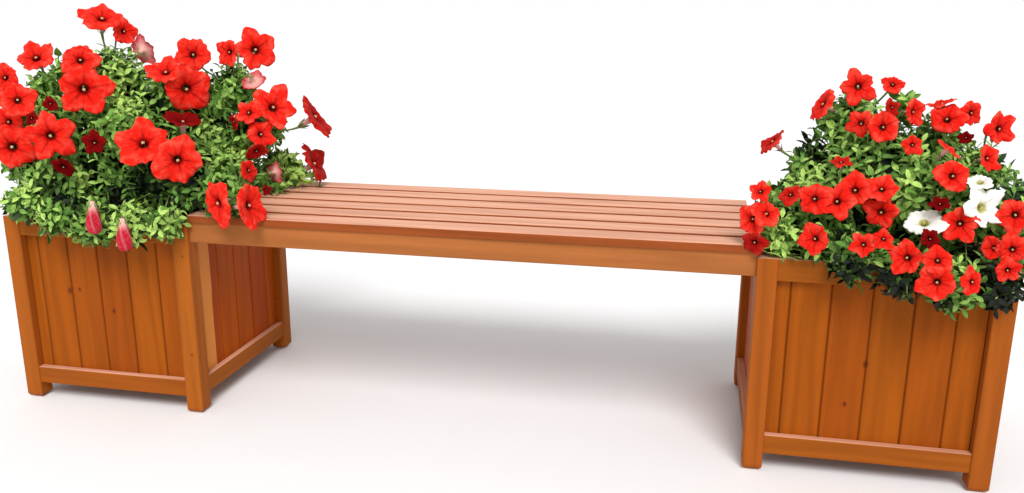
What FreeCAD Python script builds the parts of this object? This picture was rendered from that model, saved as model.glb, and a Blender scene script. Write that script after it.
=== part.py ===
import FreeCAD, Part
import math
import os

# A slatted garden bench carried between two square planter boxes, each box full of petunias.
# Millimetres. X runs along the bench, the front faces -Y, +Z is up, and the origin lies on the
# ground at the middle of the bench.

V = FreeCAD.Vector

# Overall arrangement
bench_span = 1034.0          # clear length of seat between the two boxes
box_side = 398.0             # width and depth of a box over its posts

# Posts
post_side = 34.0
post_height = 382.0
post_edge_round = 3.0
foot_round = 12.0            # radius of the rounded foot

# Rails
foot_clearance = 33.0        # ground to the lower edge of the bottom rails
rail_setback = 3.0           # a rail's face lies this far behind the posts' faces
rail_thickness = 28.0
bottom_rail_height = 35.0
top_rail_height = 38.0
rail_edge_round = 2.5

# Tongued and grooved boards, held top and bottom in grooves in the rails
board_thickness = 9.0
board_inset = 13.0           # from a rail's face back to the boards' face
groove_depth = 8.0
groove_play = 0.3
board_pitch = 65.0
first_board_width = 24.0
least_board_width = 12.0
board_gap = 0.4
board_bevel = 2.5
tongue_reach = 4.0
tongue_thickness = 3.0
tongue_play = 0.3
panel_play = 1.5             # between the outer boards and the posts

# Wooden dowels
dowel_radius = 4.0
dowel_length = 24.0
dowel_fit = 0.1
dowel_end_room = 0.5
dowel_inset = 10.0           # from a rail's outer long edge to the nearer dowel
dowel_step = 10.0            # between the heights of the dowels of two neighbouring rails

# Wood screws
screw_length = 35.0
screw_radius = 2.0
screw_head_radius = 4.0
screw_head_height = 2.5
screw_point = 4.0
screw_fit = 0.1

# Planter floor
cleat_side = 20.0
cleat_rise = 7.0             # above the lower edge of the bottom rails
cleat_screw_spacing = 105.0
floor_slat_thickness = 12.0
floor_slat_count = 5
floor_slat_gap = 6.0
floor_play = 1.0

# Liner and soil
liner_wall = 3.0
liner_play = 5.0
liner_drop = 14.0            # rim of the box down to the rim of the liner
liner_corner = 15.0
drain_radius = 6.0
drain_spacing = 160.0
soil_play = 0.3
soil_drop = 13.0             # rim of the liner down to the soil

# Seat
seat_edge_inset = 5.0        # from the boxes' faces to the seat's long edges
slat_count = 6
slat_gap = 14.0
slat_thickness = 14.0
slat_end_play = 1.0
slat_edge_round = 2.5
seat_rise = 6.0              # posts' tops up to the underside of the slats
apron_height = 40.0
apron_thickness = 22.0
apron_setback = 4.0          # from the slats' edge back to the apron's face
bearer_height = 26.0
bearer_thickness = 22.0
bearer_count = 4
outer_screw_inset = 20.0     # from a bearer's end to its last screw

# Bolts that hang the seat on the boxes
bolt_radius = 4.0
bolt_spacing = 134.0
bolt_fit = 0.25
bolt_head_radius = 8.0
bolt_head_height = 5.0
bolt_tip = 3.0
nut_across_flats = 13.0
nut_height = 6.5
nut_fit = 0.05
spacer_radius = 10.0

# Planting
plant_play = 0.5             # foliage off the wood
neck_play = 2.0              # foliage off the liner's wall, down inside the box
neck_rise = 40.0
bloom_seat = 0.3             # a bloom's stalk off the foliage
bloom_room = 1.5             # between neighbouring blooms
small_bloom_radius = 28.0
bloom_size_step = 7.0        # radius between one size of bloom and the next
bloom_sizes = 3
bloom_length_share = 0.95    # length of a bloom against its radius
petal_notch_share = 0.84     # radius between two petals against the bloom's radius
petal_thickness = 1.8
stalk_radius = 2.5
petals = 5
tries_per_clump = 13
rim_checks = 8
clump_turn = 40.0            # turn between the first blooms of one clump and the next, in degrees
highest_tilt_sine = 0.95
lowest_tilt_sine = -0.35

# Section of a bloom: shares of its radius and of its length, down the outside and back up the throat
bloom_flare = (
    (0.3, 0.82),
    (1.0, 0.95),
)
bloom_throat = (
    (0.28, 0.9),
    (0.1, 0.7),
    (0.0, 0.66),
)

# Clumps of foliage: across and back from the middle of the box, as shares of half the box's
# side, then height above its rim and radius
left_clumps = (
    (-0.10, 0.0, 100, 150),
    (-0.58, -0.48, 78, 98),
    (-0.56, 0.48, 112, 100),
    (0.53, -0.48, 75, 98),
    (0.55, 0.45, 125, 104),
    (-0.35, 0.05, 260, 72),
    (0.3, 0.08, 220, 60),
    (0.75, 0.48, 235, 68),
    (1.04, 0.36, 150, 72),
    (1.07, -0.31, 84, 60),
    (0.93, -0.84, 64, 50),
    (1.26, -0.87, 70, 44),
    (1.53, -0.93, 58, 36),
    (1.24, 0.53, 70, 48),
    (-0.88, -0.25, 185, 68),
    (-1.01, -0.56, 100, 60),
    (-0.5, -0.65, 175, 62),
    (0.13, -0.58, 170, 72),
    (-0.65, -1.05, 34, 48),
    (-0.28, -1.1, 12, 52),
    (0.13, -1.12, 0, 54),
    (0.5, -1.11, 2, 53),
    (0.83, -1.08, 12, 47),
    (-1.1, 0.3, 14, 52),
    (-0.45, 1.05, 20, 60),
    (0.1, 1.09, 8, 58),
    (0.6, 1.07, 14, 54),
)
right_clumps = (
    (0.0, 0.0, 82, 140),
    (-0.46, -0.46, 60, 90),
    (-0.44, 0.46, 70, 92),
    (0.5, -0.48, 76, 94),
    (0.55, 0.45, 100, 98),
    (-0.21, 0.1, 200, 68),
    (-0.54, 0.04, 130, 62),
    (0.5, 0.15, 160, 70),
    (0.86, -0.15, 132, 58),
    (-0.8, -0.5, 54, 50),
    (-0.69, 0.41, 52, 48),
    (0.93, -0.61, 84, 64),
    (0.23, -0.56, 108, 74),
    (-0.28, -1.07, 14, 48),
    (0.1, -1.1, -4, 54),
    (0.46, -1.12, -18, 56),
    (0.8, -1.1, -14, 52),
    (1.08, -0.6, 20, 52),
    (1.1, 0.25, 16, 56),
    (-0.48, 1.05, 16, 58),
    (0.08, 1.09, 8, 58),
    (0.58, 1.07, 12, 56),
)
# White blooms of the right box: clump, turn from +X and tilt up, in degrees
white_bloom_places = (
    (12, -78, -4),
    (11, -114, 20),
    (11, -100, 66),
)

# Sizes that follow from the ones above
half_span = bench_span / 2
half_box = box_side / 2
half_opening = half_box - post_side
box_centre = half_span + half_box
rail_face = half_box - rail_setback
rail_back = rail_face - rail_thickness
board_face = rail_face - board_inset
board_back = board_face - board_thickness
bottom_rail_top = foot_clearance + bottom_rail_height
top_rail_bottom = post_height - top_rail_height
floor_top = foot_clearance + cleat_rise + cleat_side + floor_slat_thickness
liner_half = half_opening - liner_play
liner_top = post_height - liner_drop
soil_top = liner_top - soil_drop
slats_bottom = post_height + seat_rise
seat_top = slats_bottom + slat_thickness
half_seat_depth = half_box - seat_edge_inset
slat_width = (2 * half_seat_depth - (slat_count - 1) * slat_gap) / slat_count
apron_face = half_seat_depth - apron_setback
apron_back = apron_face - apron_thickness
bearer_bottom = slats_bottom - bearer_height
bolt_height = (bearer_bottom + post_height) / 2
end_bearer_centre = half_span - bearer_thickness / 2
bearer_step = 2 * end_bearer_centre / (bearer_count - 1)
bearer_centres = [i * bearer_step - end_bearer_centre for i in range(bearer_count)]
slat_centres = [
    (slat_width + slat_gap) * (i - (slat_count - 1) / 2) for i in range(slat_count)
]

# Turn of each side of a box from its front, in degrees
side_turns = {"front": 0, "right": 90, "rear": 180, "left": 270}

# Two points closer than this are one point
touching = 1e-6


def box_between(low, high):
    """Block between two opposite corners."""
    return Part.makeBox(high[0] - low[0], high[1] - low[1], high[2] - low[2], V(*low))


def outline(corners):
    """Face in the XY plane from (x, y, radius) corners, with an arc at each that has a radius."""
    edges = []
    joints = []
    count = len(corners)
    for i, (x, y, radius) in enumerate(corners):
        here = V(x, y, 0)
        if radius <= 0:
            joints.append((here, None, here))
            continue
        back = (V(*corners[i - 1][:2], 0) - here).normalize()
        ahead = (V(*corners[(i + 1) % count][:2], 0) - here).normalize()
        half_angle = back.getAngle(ahead) / 2
        reach = radius / math.tan(half_angle)
        middle_way = (back + ahead).normalize()
        centre = here + middle_way * (radius / math.sin(half_angle))
        joints.append((here + back * reach, centre - middle_way * radius, here + ahead * reach))
    for i, (start, middle, end) in enumerate(joints):
        if middle is not None:
            edges.append(Part.Arc(start, middle, end).toShape())
        following = joints[(i + 1) % count][0]
        if (following - end).Length > touching:
            edges.append(Part.LineSegment(end, following).toShape())
    return Part.Face(Part.Wire(edges))


def square_outline(half, radius):
    """Square with rounded corners about the middle."""
    corners = ((-half, -half), (half, -half), (half, half), (-half, half))
    return outline([(x, y, radius) for x, y in corners])


def turned(shape, degrees):
    """Copy of a shape turned about the middle of its box."""
    copy = shape.copy()
    copy.rotate(V(0, 0, 0), V(0, 0, 1), degrees)
    return copy


def shifted(shape, x=0.0, y=0.0, z=0.0):
    """Copy of a shape moved by the given distances."""
    copy = shape.copy()
    copy.translate(V(x, y, z))
    return copy


def prism_up(face, bottom, top):
    """Solid of an XY outline between two heights."""
    return shifted(face.extrude(V(0, 0, top - bottom)), z=bottom)


def prism_along_x(face, start, end):
    """Solid along X of an outline drawn as (y, z)."""
    solid = face.extrude(V(0, 0, end - start))
    turn = FreeCAD.Rotation(V(0, 1, 0), V(0, 0, 1), V(1, 0, 0))
    solid.Placement = FreeCAD.Placement(V(start, 0, 0), turn)
    return solid


def prism_along_y(face, start, end):
    """Solid along Y of an outline drawn as (x, z)."""
    solid = face.extrude(V(0, 0, start - end))
    turn = FreeCAD.Rotation(V(1, 0, 0), V(0, 0, 1), V(0, -1, 0))
    solid.Placement = FreeCAD.Placement(V(0, start, 0), turn)
    return solid


def drilled(shape, tools):
    """Shape less those tools that come near it."""
    near = [tool for tool in tools if tool.BoundBox.intersect(shape.BoundBox)]
    return shape.cut(near) if near else shape


def group(solids):
    """Separate solids under one name."""
    return Part.makeCompound(solids)


def post():
    """Square post with eased edges and a rounded foot, standing at the middle."""
    half = post_side / 2
    plan = square_outline(half, post_edge_round)
    elevation = outline(
        [
            (-half, 0, foot_round),
            (half, 0, foot_round),
            (half, post_height, 0),
            (-half, post_height, 0),
        ]
    )
    shaft = prism_up(plan, 0, post_height)
    across = prism_along_x(elevation, -post_side, post_side)
    along = prism_along_y(elevation, -post_side, post_side)
    return shaft.common(across).common(along).removeSplitter()


def rail(bottom, top, groove_at_top):
    """Front rail with its outer edges eased and a groove for the boards."""
    section = outline(
        [
            (-rail_face, bottom, rail_edge_round),
            (-rail_back, bottom, 0),
            (-rail_back, top, 0),
            (-rail_face, top, rail_edge_round),
        ]
    )
    solid = prism_along_x(section, -half_opening, half_opening)
    if groove_at_top:
        groove_bottom, groove_top = top - groove_depth, top
    else:
        groove_bottom, groove_top = bottom, bottom + groove_depth
    groove = box_between(
        (-half_opening, -board_face - groove_play, groove_bottom),
        (half_opening, -board_back + groove_play, groove_top),
    )
    return solid.cut(groove)


def board_edges():
    """Where one board ends and the next begins, left to right across a side."""
    edges = [-half_opening + panel_play]
    edge = -half_opening + first_board_width
    while edge < half_opening - least_board_width:
        edges.append(edge)
        edge += board_pitch
    edges.append(half_opening - panel_play)
    return edges


def boards():
    """Front boards, each with a bevel, a tongue on its right and a groove on its left."""
    edges = board_edges()
    face, back = -board_face, -board_back
    middle = (face + back) / 2
    tongue = tongue_thickness / 2
    slot = tongue + tongue_play
    bottom = bottom_rail_top - groove_depth + groove_play
    top = top_rail_bottom + groove_depth - groove_play
    solids = []
    for i, (left, right) in enumerate(zip(edges, edges[1:])):
        points = []
        if i > 0:
            left += board_gap / 2
            inner = left + tongue_reach + tongue_play
            points += [(left, middle + slot), (inner, middle + slot), (inner, middle - slot)]
            points += [(left, middle - slot), (left, face + board_bevel), (left + board_bevel, face)]
        else:
            points += [(left, face)]
        if i < len(edges) - 2:
            right -= board_gap / 2
            outer = right + tongue_reach
            points += [(right - board_bevel, face), (right, face + board_bevel)]
            points += [(right, middle - tongue), (outer, middle - tongue)]
            points += [(outer, middle + tongue), (right, middle + tongue)]
        else:
            points += [(right, face)]
        points += [(right, back), (left, back)]
        solids.append(prism_up(outline([(x, y, 0) for x, y in points]), bottom, top))
    return group(solids)


def dowel(radius, length, centre, direction):
    """Round peg of a radius and length, centred on a point."""
    start = centre - direction * (length / 2)
    return Part.makeCylinder(radius, length, start, direction)


def rail_dowel_seats():
    """Middle and direction of each dowel of a box, on the faces where the rails meet the posts."""
    seats = []
    centre_line = rail_face - rail_thickness / 2
    for name, angle in side_turns.items():
        step = dowel_step if name in ("front", "rear") else 0.0
        heights = (foot_clearance + dowel_inset + step, post_height - dowel_inset - step)
        for height in heights:
            for end in (-half_opening, half_opening):
                seat = V(end, -centre_line, height)
                turn = FreeCAD.Rotation(V(0, 0, 1), angle)
                seats.append((turn.multVec(seat), turn.multVec(V(1, 0, 0))))
    return seats


def bearer_dowel_seats():
    """Middle and direction of each dowel between a bearer and an apron."""
    height = slats_bottom - bearer_height / 2
    return [(V(x, y, height), V(0, 1, 0)) for x in bearer_centres for y in (-apron_back, apron_back)]


def spun(profile, base, direction):
    """Solid of revolution of (radius, height) points, from a base point along a direction."""
    points = [V(r, 0, z) for r, z in profile]
    face = Part.Face(Part.makePolygon(points + points[:1]))
    solid = face.revolve(V(0, 0, 0), V(0, 0, 1), 360)
    solid.Placement = FreeCAD.Placement(base, FreeCAD.Rotation(V(0, 0, 1), direction))
    return solid


def screw(head, direction, grow=0.0):
    """Countersunk wood screw from the middle of its head, or the hole for it."""
    profile = (
        (0, 0),
        (screw_head_radius + grow, 0),
        (screw_radius + grow, screw_head_height),
        (screw_radius + grow, screw_length - screw_point),
        (0, screw_length + grow),
    )
    return spun(profile, head, direction)


def slat_screw_places():
    """Head of each screw that comes up through a bearer into a slat."""
    last = apron_back - outer_screw_inset
    places = []
    for x in bearer_centres:
        for y in slat_centres:
            places.append((V(x, max(-last, min(last, y)), bearer_bottom), V(0, 0, 1)))
    return places


def cleat_screw_places():
    """Head of each screw that holds a cleat to a side rail of a box."""
    height = foot_clearance + cleat_rise + cleat_side / 2
    places = []
    for way in (-1, 1):
        for i in (-1, 0, 1):
            head = V(way * (rail_back - cleat_side), i * cleat_screw_spacing, height)
            places.append((head, V(way, 0, 0)))
    return places


def seat_bolt_places():
    """Where each seat bolt's head bears inside a box, with its direction towards the seat."""
    head_face = half_span + rail_setback + rail_thickness
    return [
        (V(way * head_face, i * bolt_spacing / 2, bolt_height), V(-way, 0, 0))
        for way in (-1, 1)
        for i in (-1, 1)
    ]


def bolt_reach():
    """From the head's bearing face to the far face of the end bearer."""
    return rail_thickness + rail_setback + bearer_thickness


def seat_bolt(place, direction):
    """Round-headed bolt long enough for its nut."""
    head = Part.makeCylinder(
        bolt_head_radius, bolt_head_height, place - direction * bolt_head_height, direction
    )
    shank = Part.makeCylinder(bolt_radius, bolt_reach() + nut_height + bolt_tip, place, direction)
    return head.fuse(shank).removeSplitter()


def seat_bolt_hole(place, direction):
    """Clearance hole for a seat bolt through rail and bearer."""
    return Part.makeCylinder(bolt_radius + bolt_fit, bolt_reach() + nut_height, place, direction)


def seat_spacer(place, direction):
    """Ring that fills the gap between a set-back rail and the end bearer."""
    start = place + direction * rail_thickness
    ring = Part.makeCylinder(spacer_radius, rail_setback, start, direction)
    return ring.cut(seat_bolt_hole(place, direction))


def seat_nut(place, direction):
    """Hexagonal nut on a seat bolt, against the end bearer."""
    start = place + direction * bolt_reach()
    corner = nut_across_flats / math.sqrt(3)
    points = [
        (corner * math.cos(math.radians(60 * i)), corner * math.sin(math.radians(60 * i)), 0)
        for i in range(6)
    ]
    body = outline(points).extrude(V(0, 0, nut_height))
    body.Placement = FreeCAD.Placement(start, FreeCAD.Rotation(V(0, 0, 1), direction))
    hole = Part.makeCylinder(bolt_radius + nut_fit, nut_height, start, direction)
    return body.cut(hole)


def cleats():
    """Two square battens along the side rails that carry the floor."""
    bottom = foot_clearance + cleat_rise
    length = half_opening - floor_play
    return [
        box_between(
            (min(way * rail_back, way * (rail_back - cleat_side)), -length, bottom),
            (max(way * rail_back, way * (rail_back - cleat_side)), length, bottom + cleat_side),
        )
        for way in (-1, 1)
    ]


def floor_slats():
    """Slats of the planter's floor, lying on the cleats."""
    reach = half_opening - floor_play
    width = (2 * reach - (floor_slat_count - 1) * floor_slat_gap) / floor_slat_count
    return group(
        [
            box_between(
                (-reach, -reach + i * (width + floor_slat_gap), floor_top - floor_slat_thickness),
                (reach, -reach + i * (width + floor_slat_gap) + width, floor_top),
            )
            for i in range(floor_slat_count)
        ]
    )


def liner():
    """Open plastic liner with drain holes, standing on the floor slats."""
    outside = prism_up(square_outline(liner_half, liner_corner), floor_top, liner_top)
    inner_outline = square_outline(liner_half - liner_wall, liner_corner - liner_wall)
    inside = prism_up(inner_outline, floor_top + liner_wall, liner_top)
    step = drain_spacing / 2
    drains = [
        Part.makeCylinder(drain_radius, liner_wall, V(x * step, y * step, floor_top))
        for x in (-1, 1)
        for y in (-1, 1)
    ]
    return outside.cut([inside] + drains)


def soil():
    """Block of potting soil that fills the liner."""
    inset = liner_wall + soil_play
    plan = square_outline(liner_half - inset, liner_corner - inset)
    return prism_up(plan, floor_top + liner_wall, soil_top)


def clump_centre(clump):
    """Centre of a clump from the middle of its box."""
    across, back, height, radius = clump
    return V(across * half_box, back * half_box, post_height + height)


def foliage(clumps, seat_way):
    """Mound of foliage on the soil, over the rim and clear of the wood and the seat."""
    core = V(0, 0, soil_top)
    balls = []
    for clump in clumps:
        centre = clump_centre(clump)
        # The sphere's seam and poles lie along the way out from the core
        balls.append(Part.makeSphere(clump[3], centre, centre - core))
    lowest = min(clump_centre(clump).z - clump[3] for clump in clumps) - plant_play
    half = half_box + plant_play
    mound = balls[0].fuse(balls[1:])
    wood = box_between((-half, -half, lowest), (half, half, post_height + plant_play))
    seat_reach = sorted((seat_way * half_box, seat_way * (half_box + half_span)))
    half_depth = half_seat_depth + plant_play
    seat = box_between(
        (seat_reach[0], -half_depth, lowest), (seat_reach[1], half_depth, seat_top + plant_play)
    )
    neck_half = liner_half - liner_wall - neck_play
    neck = prism_up(
        square_outline(neck_half, liner_corner - liner_wall), soil_top, post_height + neck_rise
    )
    return mound.cut([wood, seat]).fuse(neck).removeSplitter()


def bloom(radius):
    """Trumpet flower with a lobed rim, its stalk end at the origin and its mouth facing up."""
    length = radius * bloom_length_share
    outside = [(r * radius, z * length) for r, z in bloom_flare]
    throat = [(r * radius, z * length) for r, z in bloom_throat]
    edge_radius, edge_height = outside[-1]
    lip = (edge_radius, edge_height + petal_thickness)
    profile = [(0, 0), (stalk_radius, 0)] + outside + [lip] + throat
    trumpet = spun(profile, V(0, 0, 0), V(0, 0, 1))
    notch = radius * petal_notch_share
    turn = 2 * math.pi / petals
    arcs = []
    for i in range(petals):
        places = [
            (notch, i * turn),
            (radius - petal_thickness / 2, (i + 0.5) * turn),
            (notch, (i + 1) * turn),
        ]
        arcs.append(Part.Arc(*[V(r * math.cos(a), r * math.sin(a), 0) for r, a in places]).toShape())
    lobes = Part.Face(Part.Wire(arcs)).extrude(V(0, 0, length + 2 * petal_thickness))
    return trumpet.common(lobes)


def way_of(turn, tilt):
    """Direction from a turn about Z and a tilt up, in degrees."""
    flat = math.cos(math.radians(tilt))
    return V(
        flat * math.cos(math.radians(turn)),
        flat * math.sin(math.radians(turn)),
        math.sin(math.radians(tilt)),
    )


def bloom_fits(clumps, seat_way, home, place, way, radius, taken):
    """True if a bloom clears the other clumps, the wood, the seat and the blooms already placed."""
    length = radius * bloom_length_share
    mouth = place + way * length
    for other, other_radius in taken:
        if (other - mouth).Length < radius + other_radius + bloom_room:
            return False
    side = way.cross(V(0, 0, 1) if abs(way.z) < 0.9 else V(1, 0, 0)).normalize()
    up = way.cross(side)
    spots = [place + way * (length * share) for share in (0.0, 0.5, 1.0)]
    for i in range(rim_checks):
        angle = 2 * math.pi * i / rim_checks
        spots.append(mouth + (side * math.cos(angle) + up * math.sin(angle)) * radius)
    for spot in spots:
        for clump in clumps:
            margin = 0 if clump is home else petal_thickness + stalk_radius
            if (spot - clump_centre(clump)).Length < clump[3] + margin:
                return False
        over_seat = spot.x * seat_way > half_box and abs(spot.y) < half_box
        over_box = max(abs(spot.x), abs(spot.y)) < half_box
        lowest = seat_top if over_seat else post_height if over_box else 0
        if spot.z < lowest + petal_thickness + plant_play:
            return False
    return True


def bloom_places(clumps, seat_way, white_places):
    """Stalk end, direction and radius of each white bloom and of each red one."""
    white, red, taken = [], [], []
    for number, turn, tilt in white_places:
        home = clumps[number]
        radius = small_bloom_radius + bloom_size_step
        way = way_of(turn, tilt)
        place = clump_centre(home) + way * (home[3] + bloom_seat)
        white.append((place, way, radius))
        taken.append((place + way * (radius * bloom_length_share), radius))
    golden_turn = 180 * (3 - math.sqrt(5))
    for number, home in enumerate(clumps):
        for i in range(tries_per_clump):
            radius = small_bloom_radius + bloom_size_step * ((number + i) % bloom_sizes)
            sine = highest_tilt_sine + (lowest_tilt_sine - highest_tilt_sine) * i / tries_per_clump
            way = way_of(number * clump_turn + i * golden_turn, math.degrees(math.asin(sine)))
            place = clump_centre(home) + way * (home[3] + bloom_seat)
            if bloom_fits(clumps, seat_way, home, place, way, radius, taken):
                red.append((place, way, radius))
                taken.append((place + way * (radius * bloom_length_share), radius))
    return white, red


def blooms(places):
    """Blooms standing on the foliage at the given places."""
    shapes = {radius: bloom(radius) for radius in sorted({radius for place, way, radius in places})}
    solids = []
    for place, way, radius in places:
        solid = shapes[radius].copy()
        solid.Placement = FreeCAD.Placement(place, FreeCAD.Rotation(V(0, 0, 1), way))
        solids.append(solid)
    return group(solids)


def planter(side, way, clumps, white_places):
    """Named pieces of one box with its planting, moved to its end of the bench."""
    seat_way = -way
    dowel_holes = [
        dowel(dowel_radius + dowel_fit, dowel_length + 2 * dowel_end_room, seat, direction)
        for seat, direction in rail_dowel_seats()
    ]
    bolt_holes = [
        shifted(seat_bolt_hole(place, direction), x=-way * box_centre)
        for place, direction in seat_bolt_places()
        if place.x * way > 0
    ]
    screw_holes = [screw(head, direction, screw_fit) for head, direction in cleat_screw_places()]
    holes = dowel_holes + bolt_holes + screw_holes
    pieces = {}
    corner = half_box - post_side / 2
    one_post = post()
    for depth, y in (("front", -corner), ("rear", corner)):
        for hand, x in (("left", -corner), ("right", corner)):
            pieces[f"{side}_box_{depth}_{hand}_post"] = drilled(shifted(one_post, x, y), dowel_holes)
    bottom_rail = rail(foot_clearance, bottom_rail_top, True)
    top_rail = rail(top_rail_bottom, post_height, False)
    one_side_of_boards = boards()
    for name, angle in side_turns.items():
        pieces[f"{side}_box_{name}_bottom_rail"] = drilled(turned(bottom_rail, angle), holes)
        pieces[f"{side}_box_{name}_top_rail"] = drilled(turned(top_rail, angle), holes)
        pieces[f"{side}_box_{name}_boards"] = turned(one_side_of_boards, angle)
    pieces[f"{side}_box_floor_cleats"] = group([drilled(cleat, screw_holes) for cleat in cleats()])
    pieces[f"{side}_box_floor_slats"] = floor_slats()
    pieces[f"{side}_box_liner"] = liner()
    pieces[f"{side}_box_soil"] = soil()
    pieces[f"{side}_box_foliage"] = foliage(clumps, seat_way)
    white, red = bloom_places(clumps, seat_way, white_places)
    pieces[f"{side}_box_red_blooms"] = blooms(red)
    if white:
        pieces[f"{side}_box_white_blooms"] = blooms(white)
    return {name: shifted(piece, x=way * box_centre) for name, piece in pieces.items()}


def seat():
    """Named pieces of the slatted seat between the boxes."""
    screw_holes = [screw(head, direction, screw_fit) for head, direction in slat_screw_places()]
    dowel_holes = [
        dowel(dowel_radius + dowel_fit, dowel_length + 2 * dowel_end_room, place, direction)
        for place, direction in bearer_dowel_seats()
    ]
    bolt_holes = [seat_bolt_hole(place, direction) for place, direction in seat_bolt_places()]
    pieces = {}
    half_slat = slat_width / 2
    slat_section = outline(
        [
            (-half_slat, slats_bottom, 0),
            (half_slat, slats_bottom, 0),
            (half_slat, seat_top, slat_edge_round),
            (-half_slat, seat_top, slat_edge_round),
        ]
    )
    slat = prism_along_x(slat_section, -half_span + slat_end_play, half_span - slat_end_play)
    for i, y in enumerate(slat_centres):
        pieces[f"seat_slat_{i + 1}"] = drilled(shifted(slat, y=y), screw_holes)
    apron_section = outline(
        [
            (-apron_face, slats_bottom - apron_height, rail_edge_round),
            (-apron_back, slats_bottom - apron_height, 0),
            (-apron_back, slats_bottom, 0),
            (-apron_face, slats_bottom, 0),
        ]
    )
    apron = prism_along_x(apron_section, -half_span, half_span)
    pieces["seat_front_apron"] = drilled(apron, dowel_holes)
    pieces["seat_rear_apron"] = drilled(turned(apron, 180), dowel_holes)
    bearers = [
        drilled(
            box_between(
                (x - bearer_thickness / 2, -apron_back, bearer_bottom),
                (x + bearer_thickness / 2, apron_back, slats_bottom),
            ),
            screw_holes + dowel_holes + bolt_holes,
        )
        for x in bearer_centres
    ]
    pieces["seat_end_bearers"] = group([bearers[0], bearers[-1]])
    pieces["seat_middle_bearers"] = group(bearers[1:-1])
    pieces["seat_bolts"] = group([seat_bolt(*place) for place in seat_bolt_places()])
    pieces["seat_nuts"] = group([seat_nut(*place) for place in seat_bolt_places()])
    pieces["seat_spacers"] = group([seat_spacer(*place) for place in seat_bolt_places()])
    return pieces


def fasteners():
    """Wood screws and dowels of the whole bench."""
    moves = [V(way * box_centre, 0, 0) for way in (-1, 1)]
    screws = [screw(head, direction) for head, direction in slat_screw_places()]
    screws += [
        screw(head + move, direction) for move in moves for head, direction in cleat_screw_places()
    ]
    dowels = [dowel(dowel_radius, dowel_length, *seat_place) for seat_place in bearer_dowel_seats()]
    dowels += [
        dowel(dowel_radius, dowel_length, place + move, direction)
        for move in moves
        for place, direction in rail_dowel_seats()
    ]
    return {"wood_screws": group(screws), "wooden_dowels": group(dowels)}


def main():
    """Write every piece to its own file."""
    os.makedirs("parts", exist_ok=True)
    pieces = planter("left", -1, left_clumps, ())
    pieces.update(planter("right", 1, right_clumps, white_bloom_places))
    pieces.update(seat())
    pieces.update(fasteners())
    for name, piece in pieces.items():
        piece.exportStep(f"parts/{name}.step")
        print(f"{name}: {len(piece.Solids)} solids, {piece.Volume / 1000:.1f} cm3")
    print(f"{len(pieces)} pieces")


main()
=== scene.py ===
import functools
import math
import random

import bmesh
import bpy
from mathutils import Euler, Matrix, Vector, noise


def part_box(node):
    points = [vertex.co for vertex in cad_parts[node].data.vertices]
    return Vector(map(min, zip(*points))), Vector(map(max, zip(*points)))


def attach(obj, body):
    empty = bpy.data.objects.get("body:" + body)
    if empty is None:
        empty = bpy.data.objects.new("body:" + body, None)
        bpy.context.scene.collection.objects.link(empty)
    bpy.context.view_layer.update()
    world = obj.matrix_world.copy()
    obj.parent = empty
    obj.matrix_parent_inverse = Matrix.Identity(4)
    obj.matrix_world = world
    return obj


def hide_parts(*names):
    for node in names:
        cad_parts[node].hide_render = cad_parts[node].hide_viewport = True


bl_info = {
    "name": "Planter Bench",
    "version": (1, 0, 0),
    "blender": (4, 5, 0),
    "location": "3D View > Sidebar > Bench",
    "description": "Dresses a slatted bench and its two planter boxes full of petunias",
    "category": "Object",
}

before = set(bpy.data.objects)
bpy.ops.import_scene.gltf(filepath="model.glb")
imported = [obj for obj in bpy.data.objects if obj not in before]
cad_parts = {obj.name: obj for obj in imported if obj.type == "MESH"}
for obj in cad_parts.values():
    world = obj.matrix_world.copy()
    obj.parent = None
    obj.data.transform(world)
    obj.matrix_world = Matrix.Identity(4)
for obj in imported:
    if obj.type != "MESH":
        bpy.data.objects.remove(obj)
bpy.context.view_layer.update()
extents = {name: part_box(name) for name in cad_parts}

# Names of the pieces that repeat
BOX_SIDES = ("left", "right")
BOX_FACES = ("front", "right", "rear", "left")
CORNERS = ("front_left", "front_right", "rear_left", "rear_right")
SLATS = 6

MM = 0.001
TURN = 2 * math.pi
RIGHT = Vector((1, 0, 0))
UP = Vector((0, 0, 1))
# Share of up in a direction from which it counts as upright
STEEP = 0.9

# The photograph's frame, in pixels, and the film behind the lens, in millimetres
PICTURE_WIDTH = 1024
PICTURE_HEIGHT = 493
SENSOR_WIDTH = 36.0

# Boards of a box: the width of the first, the pitch of the others, and the pale strip in one
FIRST_BOARD = 24 * MM
BOARD_PITCH = 65 * MM
PALE_STRIP = 40 * MM

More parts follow.
